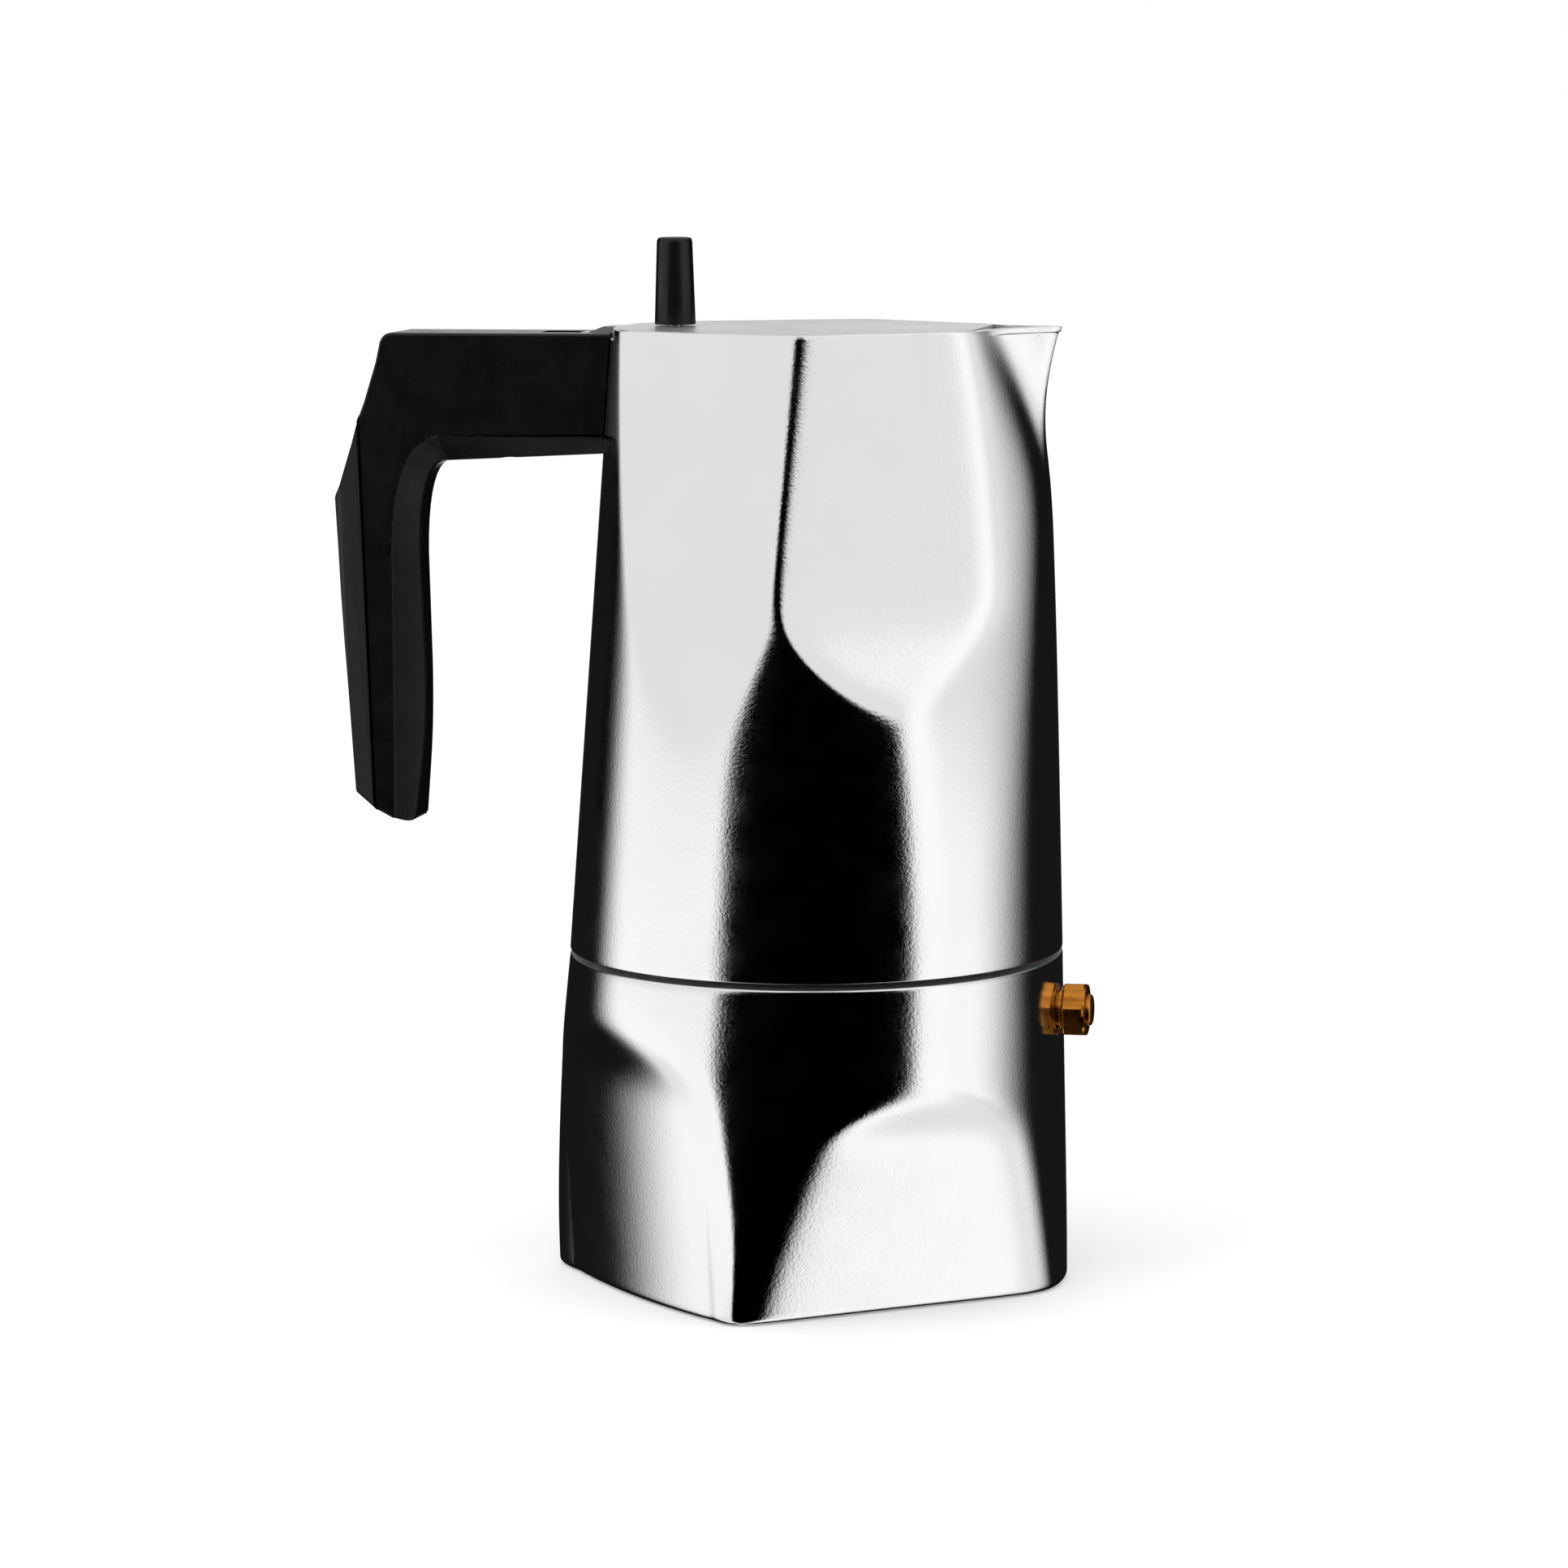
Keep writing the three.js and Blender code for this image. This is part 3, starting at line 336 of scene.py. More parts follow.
class Look:
    """A Principled material and short ways to add nodes to it."""

    def __init__(self, name, **values):
        self.material = bpy.data.materials.new(name)
        self.material.use_nodes = True
        self.tree = self.material.node_tree
        self.shader = self.tree.nodes["Principled BSDF"]
        for key, value in values.items():
            self.shader.inputs[key.replace("_", " ")].default_value = value
        self.coordinates = self.tree.nodes.new("ShaderNodeTexCoord").outputs["Object"]

    def link(self, output, to):
        self.tree.links.new(output, to)

    def noise(self, scale, detail=2.0, stretch=(1, 1, 1), roughness=0.5):
        mapping = self.tree.nodes.new("ShaderNodeMapping")
        mapping.inputs["Scale"].default_value = stretch
        self.link(self.coordinates, mapping.inputs["Vector"])
        noise = self.tree.nodes.new("ShaderNodeTexNoise")
        noise.inputs["Scale"].default_value = scale
        noise.inputs["Detail"].default_value = detail
        noise.inputs["Roughness"].default_value = roughness
        self.link(mapping.outputs["Vector"], noise.inputs["Vector"])
        return noise.outputs["Fac"]

    def remap(self, value, low, high, to_low, to_high):
        node = self.tree.nodes.new("ShaderNodeMapRange")
        for socket, number in zip(RANGE_SOCKETS, (low, high, to_low, to_high)):
            node.inputs[socket].default_value = number
        self.link(value, node.inputs["Value"])
        return node.outputs["Result"]

    def colour(self, value, low, high, dark, light):
        node = self.tree.nodes.new("ShaderNodeMix")
        node.data_type = "RGBA"
        node.inputs["A"].default_value = (*dark, 1)
        node.inputs["B"].default_value = (*light, 1)
        self.link(self.remap(value, low, high, 0, 1), node.inputs["Factor"])
        self.link(node.outputs["Result"], self.shader.inputs["Base Color"])

    def roughness(self, value, low, high):
        self.link(self.remap(value, 0.3, 0.7, low, high), self.shader.inputs["Roughness"])

    def bumps(self, *layers):
        """Each layer is (height from 0 to 1, its depth in millimetres)."""
        below = None
        for height, depth in layers:
            node = self.tree.nodes.new("ShaderNodeBump")
            node.inputs["Strength"].default_value = 1.0
            node.inputs["Distance"].default_value = depth * MM
            self.link(height, node.inputs["Height"])
            if below is not None:
                self.link(below, node.inputs["Normal"])
            below = node.outputs["Normal"]
        self.link(below, self.shader.inputs["Normal"])


def polished_aluminium():
    look = Look("polished_aluminium", Metallic=1.0, Anisotropic=0.2)
    grain = look.noise(1500, 3.0, roughness=0.7)
    drawn = look.noise(1500, 2.0, (1, 1, 0.06))
    look.colour(look.noise(45, 4.0), 0.3, 0.7, (0.885, 0.885, 0.89), (0.915, 0.915, 0.917))
    look.roughness(look.noise(160, 5.0), 0.07, 0.115)
    look.bumps((look.noise(70, 2.0), 0.004), (drawn, 0.002), (grain, 0.028))
    return look.material


def cast_aluminium():
    """Unpolished inside of the castings."""
    look = Look("cast_aluminium", Metallic=1.0)
    look.colour(look.noise(120, 5.0), 0.3, 0.7, (0.62, 0.62, 0.62), (0.74, 0.74, 0.745))
    look.roughness(look.noise(300, 4.0), 0.38, 0.52)
    look.bumps((look.noise(60, 3.0), 0.05), (look.noise(1400, 4.0, roughness=0.7), 0.02))
    return look.material


def satin_aluminium():
    look = Look("satin_aluminium", Metallic=1.0, Anisotropic=0.4)
    brushed = look.noise(900, 3.0, (0.04, 1, 1))
    look.colour(look.noise(60, 4.0), 0.3, 0.7, (0.8, 0.8, 0.805), (0.87, 0.87, 0.872))
    look.roughness(look.noise(220, 5.0), 0.3, 0.4)
    look.bumps((brushed, 0.004), (look.noise(2400, 3.0), 0.003))
    return look.material


def brass(name, rough, streaks):
    look = Look(name, Metallic=1.0)
    tarnish = look.noise(420, 5.0, streaks, 0.65)
    look.colour(tarnish, 0.34, 0.66, (0.34, 0.1, 0.012), (0.84, 0.35, 0.05))
    look.roughness(look.noise(700, 3.0), rough, rough + 0.16)
    scratches = look.noise(1300, 4.0, streaks, 0.7)
    look.bumps((scratches, 0.02), (look.noise(2600, 2.0), 0.003))
    return look.material


def steel():
    look = Look("steel", Metallic=1.0)
    look.colour(look.noise(300, 4.0), 0.3, 0.7, (0.5, 0.5, 0.51), (0.62, 0.62, 0.63))
    look.roughness(look.noise(500, 4.0), 0.22, 0.36)
    look.bumps((look.noise(1800, 3.0, (0.1, 1, 1)), 0.004),)
    return look.material


def black_plastic():
    look = Look("black_plastic", IOR=1.5, Specular_IOR_Level=0.32)
    look.colour(look.noise(90, 4.0), 0.3, 0.7, (0.0022, 0.0022, 0.0024), (0.0042, 0.004, 0.004))
    look.roughness(look.noise(260, 5.0), 0.22, 0.31)
    look.bumps((look.noise(20, 2.0), 0.01), (look.noise(1700, 3.0, roughness=0.6), 0.006))
    return look.material


def silicone():
    look = Look("silicone", IOR=1.42)
    look.colour(look.noise(70, 4.0), 0.3, 0.7, (0.72, 0.7, 0.64), (0.8, 0.78, 0.72))
    look.roughness(look.noise(400, 4.0), 0.5, 0.68)
    look.bumps((look.noise(900, 4.0), 0.01),)
    return look.material


POLISHED, CAST, SATIN = polished_aluminium(), cast_aluminium(), satin_aluminium()
BRASS_TURNED = brass("brass_turned", 0.2, (0.04, 1, 1))
BRASS_HEX = brass("brass_hex", 0.24, (0.06, 1, 1))
STEEL, BLACK, SILICONE = steel(), black_plastic(), silicone()


def finish_piece(obj, node, material, angle=35, weighted=False, inner=None):
    """Gives a piece its material and shading, and hangs it on its CAD node's body.
    inner is (material, test of the faces' centres in mm) for the part of the piece that differs."""
    obj.name = obj.data.name = node + "_look"
    obj.data.materials.clear()
    obj.data.materials.append(material)
    index = np.zeros(len(obj.data.polygons), np.int32)
    if inner:
        obj.data.materials.append(inner[0])
        centres = np.zeros(3 * len(index), np.float32)
        obj.data.polygons.foreach_get("center", centres)
        index[:] = inner[1](*(centres.reshape(-1, 3).T / MM))
    obj.data.polygons.foreach_set("material_index", index)
    shade(obj, angle, weighted)
    bodies = frame["record"]["behaviour"]["bodies"]
    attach(obj, next(body for body, nodes in bodies.items() if node in nodes))
    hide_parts(node)
    return obj


# ---------------------------------------------------------------- boiler
def arc(count):
    return [math.pi / 2 * i / count for i in range(count + 1)]


def boiler():
    outline = lambda z: boiler_radius(THETA, z)
    foot, lip = 1.3, 0.45
    rows = [(0, 0.0)] + [((outline(0) - foot) * share, 0.0) for share in (0.4, 0.8)]
    for a in arc(6):
        z = foot - foot * math.cos(a)
        rows.append((outline(z) - foot + foot * math.sin(a), z))
    rows += [(outline(z), z) for z in np.arange(2.2, BOILER_TOP - lip - 0.3, 0.9)]
    top = outline(BOILER_TOP)
    rows += [(top - lip + lip * math.cos(a), BOILER_TOP - lip + lip * math.sin(a)) for a in arc(4)]
    rows += [(46.6, BOILER_TOP), (NECK_RADIUS, BOILER_TOP + 0.35)]
    rows += [
        (NECK_RADIUS - 0.8 * thread(THETA, z, *NECK_THREAD), z)
        for z in np.arange(BOILER_TOP + 0.7, NECK_TOP - 0.4, 0.25)
    ]
    rows += [(46.0, NECK_TOP - 0.4), (45.6, NECK_TOP), (NECK_BORE + 0.4, NECK_TOP)]
    rows += [(NECK_BORE, NECK_TOP - 0.4), (NECK_BORE, BOILER_TOP + 0.5)]
    rows.append((NECK_BORE + 0.4, BOILER_TOP - 1.2))
    inside = lambda z: boiler_radius(THETA, z) * (RING_RADIUS - BOILER_WALL) / RING_RADIUS
    rows += [(inside(z), z) for z in np.arange(62, 7.5, -2.5)]
    rows += [(inside(6) - 4 + 4 * math.cos(a), 8.5 - 4 * math.sin(a)) for a in arc(5)]
    rows.append((0, 4.5))
    made = shell("boiler", rows)
    bore = turned("bore", [(0, 44), (4.55, 44), (4.55, 55.6), (0, 55.6)], 48, along_x=True)
    combine(made, bore)

    def machined(x, y, z):
        inside = np.hypot(x, y) < boiler_radius(np.arctan2(y, x), z) - 1.2
        return (z > BOILER_TOP - 0.05) | (inside & (z > 2))

    return finish_piece(made, "boiler", POLISHED, 40, inner=(CAST, machined))


# ---------------------------------------------------------------- safety valve, along X
def valve():
    apothem, start, end, edge = 5.5, 54.75, 59.4, 0.2
    theta = np.linspace(-math.pi, math.pi, 360, endpoint=False)
    corner = np.mod(theta + math.pi / 2 + math.radians(10), math.pi / 3)
    flats = apothem / np.cos(corner - math.pi / 6)
    cone = lambda x: 6.35 - 1.7 * max(0.0, x - (end - 0.55))
    hexagon = lambda x: soft_min(0.08, [flats, cone(x)])
    rows = [(0, 44.0), (3.9, 44.0), (4.2, 44.3), (4.2, 50.0), (4.2, start - 0.2)]
    rows += [(4.5, start), (hexagon(start) - edge, start), (hexagon(start), start + edge)]
    rows += [(hexagon(x), x) for x in np.linspace(start + edge + 0.2, end, 10)]
    rows += [(4.6, end), (0, end)]
    body = shell("valve_body", rows, theta)
    onto_valve_axis(body)
    room = [(0, 43), (3, 43), (3, 54), (1.9, 54), (1.9, 56), (3.75, 56), (3.75, 61), (0, 61)]
    combine(body, turned("room", room, 64, along_x=True))
    shank = lambda x, y, z: x < start - 0.05
    finish_piece(body, "valve_body", BRASS_HEX, 28, inner=(BRASS_TURNED, shank))
    washer = [(4.55, 54.05, 0.1), (5.2, 54.05, 0.1), (5.2, 54.4, 0.1), (4.55, 54.4, 0.1)]
    finish_piece(turned("w", washer, 96, True, along_x=True), "valve_washer", BRASS_TURNED)
    seat = [(1.6, 44, 0.2), (2.7, 44, 0.2), (2.7, 45.2, 0.2), (1.6, 45.2, 0.2)]
    finish_piece(turned("s", seat, 64, True, along_x=True), "valve_seat", BRASS_TURNED)
    stem = [(0, 45.5), (2.7, 45.5, 0.3), (2.7, 47, 0.3), (1.5, 47, 0.2), (1.5, 56.6, 0.1)]
    stem += [(3.4, 56.6, 0.2), (3.4, 60.15, 0.3), (3.0, 60.52, 0.3), (2.0, 60.58, 0.6), (0, 60.6)]
    finish_piece(turned("t", stem, 96, along_x=True), "valve_stem", BRASS_TURNED, 30)
    coil = finish_piece(spring(), "valve_spring", STEEL)
    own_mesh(coil)


def spring():
    """Coil along X, at its rest length."""
    start, end, turns, radius, wire = 47.4, 53.6, 5, 2.3, 0.38
    steps, sides = turns * 28, 12
    vertices, faces = [], []
    for i in range(steps + 1):
        t = i / steps
        angle = t * turns * 2 * math.pi
        centre = np.array([start + wire + (end - start - 2 * wire) * t,
                           radius * math.cos(angle), VALVE_Z + radius * math.sin(angle)])
        out = np.array([0, math.cos(angle), math.sin(angle)])
        for k in range(sides):
            a = 2 * math.pi * k / sides
            vertices.append(centre + wire * (math.cos(a) * out + math.sin(a) * np.array([1.0, 0, 0])))
    for i in range(steps):
        for k in range(sides):
            j = (k + 1) % sides
            faces.append((i * sides + k, i * sides + j, (i + 1) * sides + j, (i + 1) * sides + k))
    faces += [tuple(range(sides))[::-1], tuple(range(steps * sides, (steps + 1) * sides))]
    return new_object("spring", vertices, faces)


# ---------------------------------------------------------------- funnel, seal, filter plate
def perforated(name, radius, bottom, thickness, pitch):
    """Disc with a hole at its centre and rings of holes around it."""
    curve = bpy.data.curves.new(name, "CURVE")
    curve.dimensions, curve.fill_mode, curve.extrude = "2D", "BOTH", thickness / 2 * MM

    def circle(x, y, r, count):
        spline = curve.splines.new("POLY")
        spline.points.add(count - 1)
        for i, point in enumerate(spline.points):
            a = 2 * math.pi * i / count
            point.co = ((x + r * math.cos(a)) * MM, (y + r * math.sin(a)) * MM, 0, 1)
        spline.use_cyclic_u = True

    circle(0, 0, radius, 180)
    circle(0, 0, HOLE_RADIUS, 20)
    for i in range(1, HOLE_RINGS + 1):
        for j in range(6 * i):
            a = 2 * math.pi * j / (6 * i)
            circle(i * pitch * math.cos(a), i * pitch * math.sin(a), HOLE_RADIUS, 20)
    source = bpy.data.objects.new(name, curve)
    bpy.context.scene.collection.objects.link(source)
    graph = bpy.context.evaluated_depsgraph_get()
    mesh = bpy.data.meshes.new_from_object(source.evaluated_get(graph))
    mesh.transform(Matrix.Translation((0, 0, (bottom + thickness / 2) * MM)))
    bpy.data.objects.remove(source)
    made = bpy.data.objects.new(name, mesh)
    bpy.context.scene.collection.objects.link(made)
    return merge_close(made)


def funnel():
    bowl = [
        (44, 83.35, 0.3), (44, 84.35, 0.3), (38.5, 84.35, 0.5), (37.8, 61.8, 0.4), (37.0, 61.8, 0.4),
        (5.85, 51, 0.4), (5.85, 46, 0.2), (6.85, 46, 0.2), (6.85, 50.4, 0.8), (38.8, 60.8, 1.2),
        (39.5, 83.35, 0.5),
    ]
    finish_piece(turned("b", bowl, 192, True), "funnel_bowl", SATIN)
    tube = [(4.6, 8, 0.2), (5.5, 8, 0.2), (5.5, 50.5, 0.2), (4.6, 50.5, 0.2)]
    finish_piece(turned("t", tube, 96, True), "funnel_tube", SATIN)
    finish_piece(perforated("s", 37.2, 62.15, 0.8, 9.5), "funnel_sieve", SATIN)
    seal = [(33, 84.7, 0.9), (44.35, 84.7, 0.9), (44.35, 87.7, 0.9), (33, 87.7, 0.9)]
    finish_piece(turned("g", seal, 240, True), "gasket", SILICONE)
    finish_piece(perforated("p", 39.5, 88.05, 0.8, 8.5), "filter_plate", SATIN)


# ---------------------------------------------------------------- jug
def jug():
    lip, rim, wall = 0.15, 0.3, RING_RADIUS / (RING_RADIUS - JUG_WALL)
    rows = [
        (0, 160.0), (3.0, 160.0), (3.4, 159.6), (4.0, 93.6), (5.0, 93.0), (35.4, 89.4), (36.0, 89.3),
        (44.3, 89.3), (44.7, 88.9), (44.7, 84.5), (45.0, 84.2), (46.3, 84.2), (46.6, 83.9),
    ]
    rows += [(JUG_THREAD_RADIUS + 0.75 * (1 - thread(THETA, z, *JUG_THREAD)) * (73.4 < z < 83.4), z)
             for z in np.arange(83.7, 73.0, -0.25)]
    rows += [(46.8, 72.8), (47.3, JUG_BOTTOM)]
    near = 1 - smoothstep(np.abs(THETA), math.radians(9), math.radians(17))
    bead = lambda z: 0.4 * near * float(smoothstep(z, RIM - 1.3, RIM - 1.0))

    def outer(z):
        lifted = z + spout_lift(THETA, z)
        return jug_radius(THETA, lifted) + bead(z), lifted

    first = outer(JUG_BOTTOM + lip)[0]
    rows += [(first - lip + lip * math.sin(a), JUG_BOTTOM + lip - lip * math.cos(a)) for a in arc(4)]
    rows += [outer(z) for z in np.arange(JUG_BOTTOM + 1.2, RIM - 1.5, 0.9)]
    rows += [outer(RIM - depth) for depth in (1.4, 1.25, 1.15, 1.05, 0.95, 0.6)]
    r, z = outer(RIM)
    rows += [(r - rim + rim * math.cos(a), z - rim + rim * math.sin(a)) for a in arc(3)]
    mouth = np.minimum(r - RIM_LIP, (LID_END + GAP) / np.maximum(np.cos(THETA), 0.01))
    mouth = np.where(np.cos(THETA) > 0.01, np.maximum(mouth, r / wall), r - RIM_LIP)
    rows += [(mouth + 0.15 - 0.15 * math.sin(a), z - 0.15 + 0.15 * math.cos(a)) for a in arc(2)]
    rows += [(mouth, LID_LEDGE), (r / wall + 0.2, LID_LEDGE), (r / wall, LID_LEDGE - 0.3)]
    rows += [(outer(h)[0] / wall, outer(h)[1]) for h in np.arange(LID_LEDGE - 1.5, 104, -2.0)]
    base = outer(100)[0] / wall
    rows += [(base - 6 + 6 * math.cos(a), 100 - 6 * math.sin(a)) for a in arc(6)]
    rows += [(30.0, 95.0), (14.0, 97.6), (11.0, 98.4), (9.0, 100.2), (8.0, 103.0)]
    rows += [(8 - 1.8 * t, 103 + 57.5 * t) for t in np.linspace(0.1, 1, 10)]
    rows += [(5.7, 161.8), (4.6, 162.7), (2.5, 163.0), (0, 163.0)]
    made = shell("jug", rows)
    back = [(70 * math.cos(a), 70 * math.sin(a)) for a in np.radians(np.linspace(155, 205, 12))]
    combine(made, slab("back", [(-25, -11.7), (-25, 11.7)] + back, LID_LEDGE, RIM + 5))
    for x0, x1 in ((3.6, 20), (-20, -3.6)):
        combine(made, block("outlet", x0, x1, -2.5, 2.5, 152, 158))
    tang = block("tang", -72, -43.5, -4, 4, 183, 193)
    hole = turned("hole", [(0, 180), (2.35, 180), (2.35, 196), (0, 196)], 32, at=(HANDLE_SCREW_X, 0))
    combine(made, combine(soften(tang, 0.4), hole), "UNION")

    def unseen(x, y, z):
        inside = np.hypot(x, y) < jug_radius(np.arctan2(y, x), z) - 1.2
        return (x < -53.5) | (inside & (z < RIM - 0.6) & (z > JUG_BOTTOM + 0.2))

    return finish_piece(made, "jug", POLISHED, 40, inner=(CAST, unseen))


# ---------------------------------------------------------------- lid, hinge and knob
def lid():
    drawn_in = lambda t: np.where(np.abs(t) > math.radians(160.5), GAP, RIM_LIP + GAP)
    edge = jug_radius(THETA, RIM) - drawn_in(THETA)
    corner = THETA[np.argmin(np.abs(edge * np.cos(THETA) - LID_END) + 9 * (np.abs(THETA) > 1.3))]
    theta = np.unique(np.concatenate([THETA, [-abs(corner), abs(corner)]]))
    edge = jug_radius(theta, RIM) - drawn_in(theta)
    edge = np.where(edge * np.cos(theta) > LID_END, LID_END / np.maximum(np.cos(theta), 0.1), edge)
    low, high = LID_BOTTOM, LID_TOP
    rows = [(0, low), (edge * 0.5, low), (edge - 0.2, low), (edge, low + 0.2), (edge, high - 0.2),
            (edge - 0.06, high - 0.06), (edge - 0.2, high), (edge * 0.5, high), (0, high)]
    made = shell("lid", rows, theta)
    arm = [(-41, low), (-41, high), (-45, high), (-49, 203.8), (-51, 201), (-49, 198.2), (-44.6, 201.4)]
    arm = prism("arm", arm + [(-43.9, low)], -HINGE_HALF_WIDTH, HINGE_HALF_WIDTH)
    knuckle = cross_rod("knuckle", HINGE_X, HINGE_Z, 3, -HINGE_HALF_WIDTH, HINGE_HALF_WIDTH)
    combine(arm, knuckle, "UNION")
    combine(made, arm, "UNION")
    combine(made, cross_rod("pin_hole", HINGE_X, HINGE_Z, 1.35, -10, 10))
    combine(made, turned("hole", [(0, 202), (1.85, 202), (1.85, 207), (0, 207)], 32, at=(KNOB_X, 0)))
    finish_piece(made, "lid", SATIN, 30, weighted=True)
    finish_piece(cross_rod("pin", HINGE_X, HINGE_Z, 1, -7.5, 8.6, 0.25), "hinge_pin", STEEL)


def knob():
    at = (KNOB_X, 0)
    low = LID_TOP + GAP
    body = [(3.85, low + 0.95, 0.1), (3.85, low, 0.1), (4.4, low, 0.25), (3.8, 223.9, 0.9)]
    body += [(3.0, KNOB_TOP, 0.8), (0, KNOB_TOP), (0, 216), (3, 216, 0.3), (3, low + 0.95, 0.1)]
    finish_piece(turned("k", body, 128, at=at, closed=True), "knob", BLACK)
    washer = [(1.85, low, 0.1), (3.5, low, 0.15), (3.5, low + 0.6, 0.2), (1.85, low + 0.6, 0.1)]
    finish_piece(turned("w", washer, 128, True, at), "knob_washer", STEEL)
    insert = [(1.8, low + 0.95, 0.1), (2.7, low + 0.95, 0.2), (2.7, 213, 0.2), (1.8, 213, 0.1)]
    finish_piece(turned("i", insert, 64, True, at), "knob_insert", BRASS_TURNED)
    screw = [(0, 200.9), (2.6, 200.9, 0.5), (3.4, 201.7, 0.4), (3.4, 203, 0.1), (1.5, 203, 0.1),
             (1.5, 214, 0.3), (0, 214)]
    made = turned("x", screw, 96, at=at)
    combine(made, block("slot", KNOB_X - 4, KNOB_X + 4, -0.45, 0.45, 200.5, 201.8))
    finish_piece(made, "knob_screw", STEEL, 30)


# ---------------------------------------------------------------- handle
def curve_points(start, control, end, count=6):
    """Points along a quadratic curve, without its start."""
    a, b, c = (np.array(p, float) for p in (start, control, end))
    shares = np.linspace(0, 1, count + 1)[1:]
    return [tuple((1 - t) ** 2 * a + 2 * t * (1 - t) * b + t * t * c) for t in shares]


def handle_outline():
    points = [(-35, 204), (-91, 204)]
    points += curve_points((-91, 204), (-93.2, 203.7), (-93.6, 201))
    points += [(-94.4, 197.5), (-97.1, 189), (-100.7, 180), (-106.1, 168)]
    points += [(-104.3, 134), (-102, 103.4), (-91.4, 98.5)]
    points += curve_points((-91.4, 98.5), (-90, 97.8), (-89.2, 97.7))
    points += curve_points((-89.2, 97.7), (-87.9, 97.6), (-87.6, 99), 4) + [(-86.4, 110)]
    points += curve_points((-86.4, 110), (-85.3, 120), (-85.5, 132), 8) + [(-86.2, 156)]
    points += curve_points((-86.2, 156), (-86.1, 175.9), (-80.5, 176.2), 10) + [(-35, 178.6)]
    return points


def bevel_cutter(side, deep):
    """Cutter for a slanted flat: side is where it leaves the handle's side face, as (x, z) points,
    and deep is the same outline further out and BEVEL_REACH deeper."""
    n, half = len(side), HANDLE_HALF_WIDTH
    vertices = [(x, half + 1, z) for x, z in side] + [(x, half, z) for x, z in side]
    vertices += [(x, half - BEVEL_REACH, z) for x, z in deep]
    faces = [tuple(range(n))[::-1], tuple(range(2 * n, 3 * n))]
    for row in (0, n):
        for i in range(n):
            a, b, c, d = row + i, row + (i + 1) % n, row + n + (i + 1) % n, row + n + i
            faces += [(a, b, c), (a, c, d)]
    return new_object("cutter", vertices, faces)


def bevel_cutters():
    rear = [(-95.6, 90), (-99.2, 210), (-130, 210), (-130, 90)]
    yield bevel_cutter(rear, [(x - BEVEL_REACH if x > -100 else x, z) for x, z in rear])
    side = [(-91.6, 90), (-91.6, 156)] + curve_points((-91.6, 156), (-91.2, 181.6), (-80.5, 182), 14)
    deep = [(-84.6, 90), (-84.6, 158)] + curve_points((-84.6, 158), (-84.3, 174.6), (-79.5, 175), 14)
    yield bevel_cutter(side + [(-30, 182), (-30, 90)], deep + [(-30, 175), (-30, 90)])


def mirrored(obj):
    twin = new_object("twin", [tuple(v.co / MM) for v in obj.data.vertices],
                      [tuple(p.vertices)[::-1] for p in obj.data.polygons])
    twin.data.transform(Matrix.Scale(-1, 4, (0, 1, 0)))
    twin.data.flip_normals()
    return twin


def jug_envelope(clearance):
    outline = lambda z: jug_radius(THETA, min(z, RIM)) + clearance
    rows = [(0, 150.0)] + [(outline(z), z) for z in np.arange(150, 216, 1.5)] + [(0, 215.5)]
    return shell("envelope", rows)


def handle():
    made = prism("handle", handle_outline(), -HANDLE_HALF_WIDTH, HANDLE_HALF_WIDTH)
    for cutter in list(bevel_cutters()):
        twin = mirrored(cutter)
        combine(made, cutter)
        combine(made, twin)
    soften(made, 0.7, 3, 22)
    combine(made, jug_envelope(0.4))
    combine(made, block("slot", -59, -30, -3.8, 3.8, 197, 210))
    combine(made, block("pocket", -72.35, -30, -4.35, 4.35, 182.65, 193.35))
    at = (HANDLE_SCREW_X, 0)
    shaft = [(0, 170), (4, 170), (4, 180.3), (2.35, 180.3)]
    shaft += [(2.35, 193), (3.5, 193), (3.5, 200), (0, 200)]
    combine(made, turned("shaft", shaft, 64, at=at))
    combine(made, cross_rod("pin_room", HINGE_X, HINGE_Z, 1.3, -7.8, 9.2))
    finish_piece(made, "handle", BLACK, 25, weighted=True)
    screw = [(0, 177.4), (3.4, 177.4, 0.4), (3.4, 179.9, 0.3), (2, 179.9, 0.1), (2, 199, 0.3), (0, 199)]
    part = turned("s", screw, 64, at=at)
    combine(part, block("slot", HANDLE_SCREW_X - 4, HANDLE_SCREW_X + 4, -0.45, 0.45, 177, 178.3))
    finish_piece(part, "handle_screw", STEEL, 30)
    insert = [(2.3, 193.7, 0.1), (3.2, 193.7, 0.2), (3.2, 199.6, 0.2), (2.3, 199.6, 0.1)]
    finish_piece(turned("i", insert, 64, True, at), "handle_insert", BRASS_TURNED)


# ---------------------------------------------------------------- camera, floor and light
CAMERA_TURN = math.radians(11.6)  # of the pot's Y axis from the camera's ground direction
CAMERA_DISTANCE, CAMERA_HEIGHT = 1143.0, 259.5
YAW, PITCH, ROLL = -0.0058, 0.1326, -0.0057
SENSOR_WIDTH, LENS = 36, 122.91


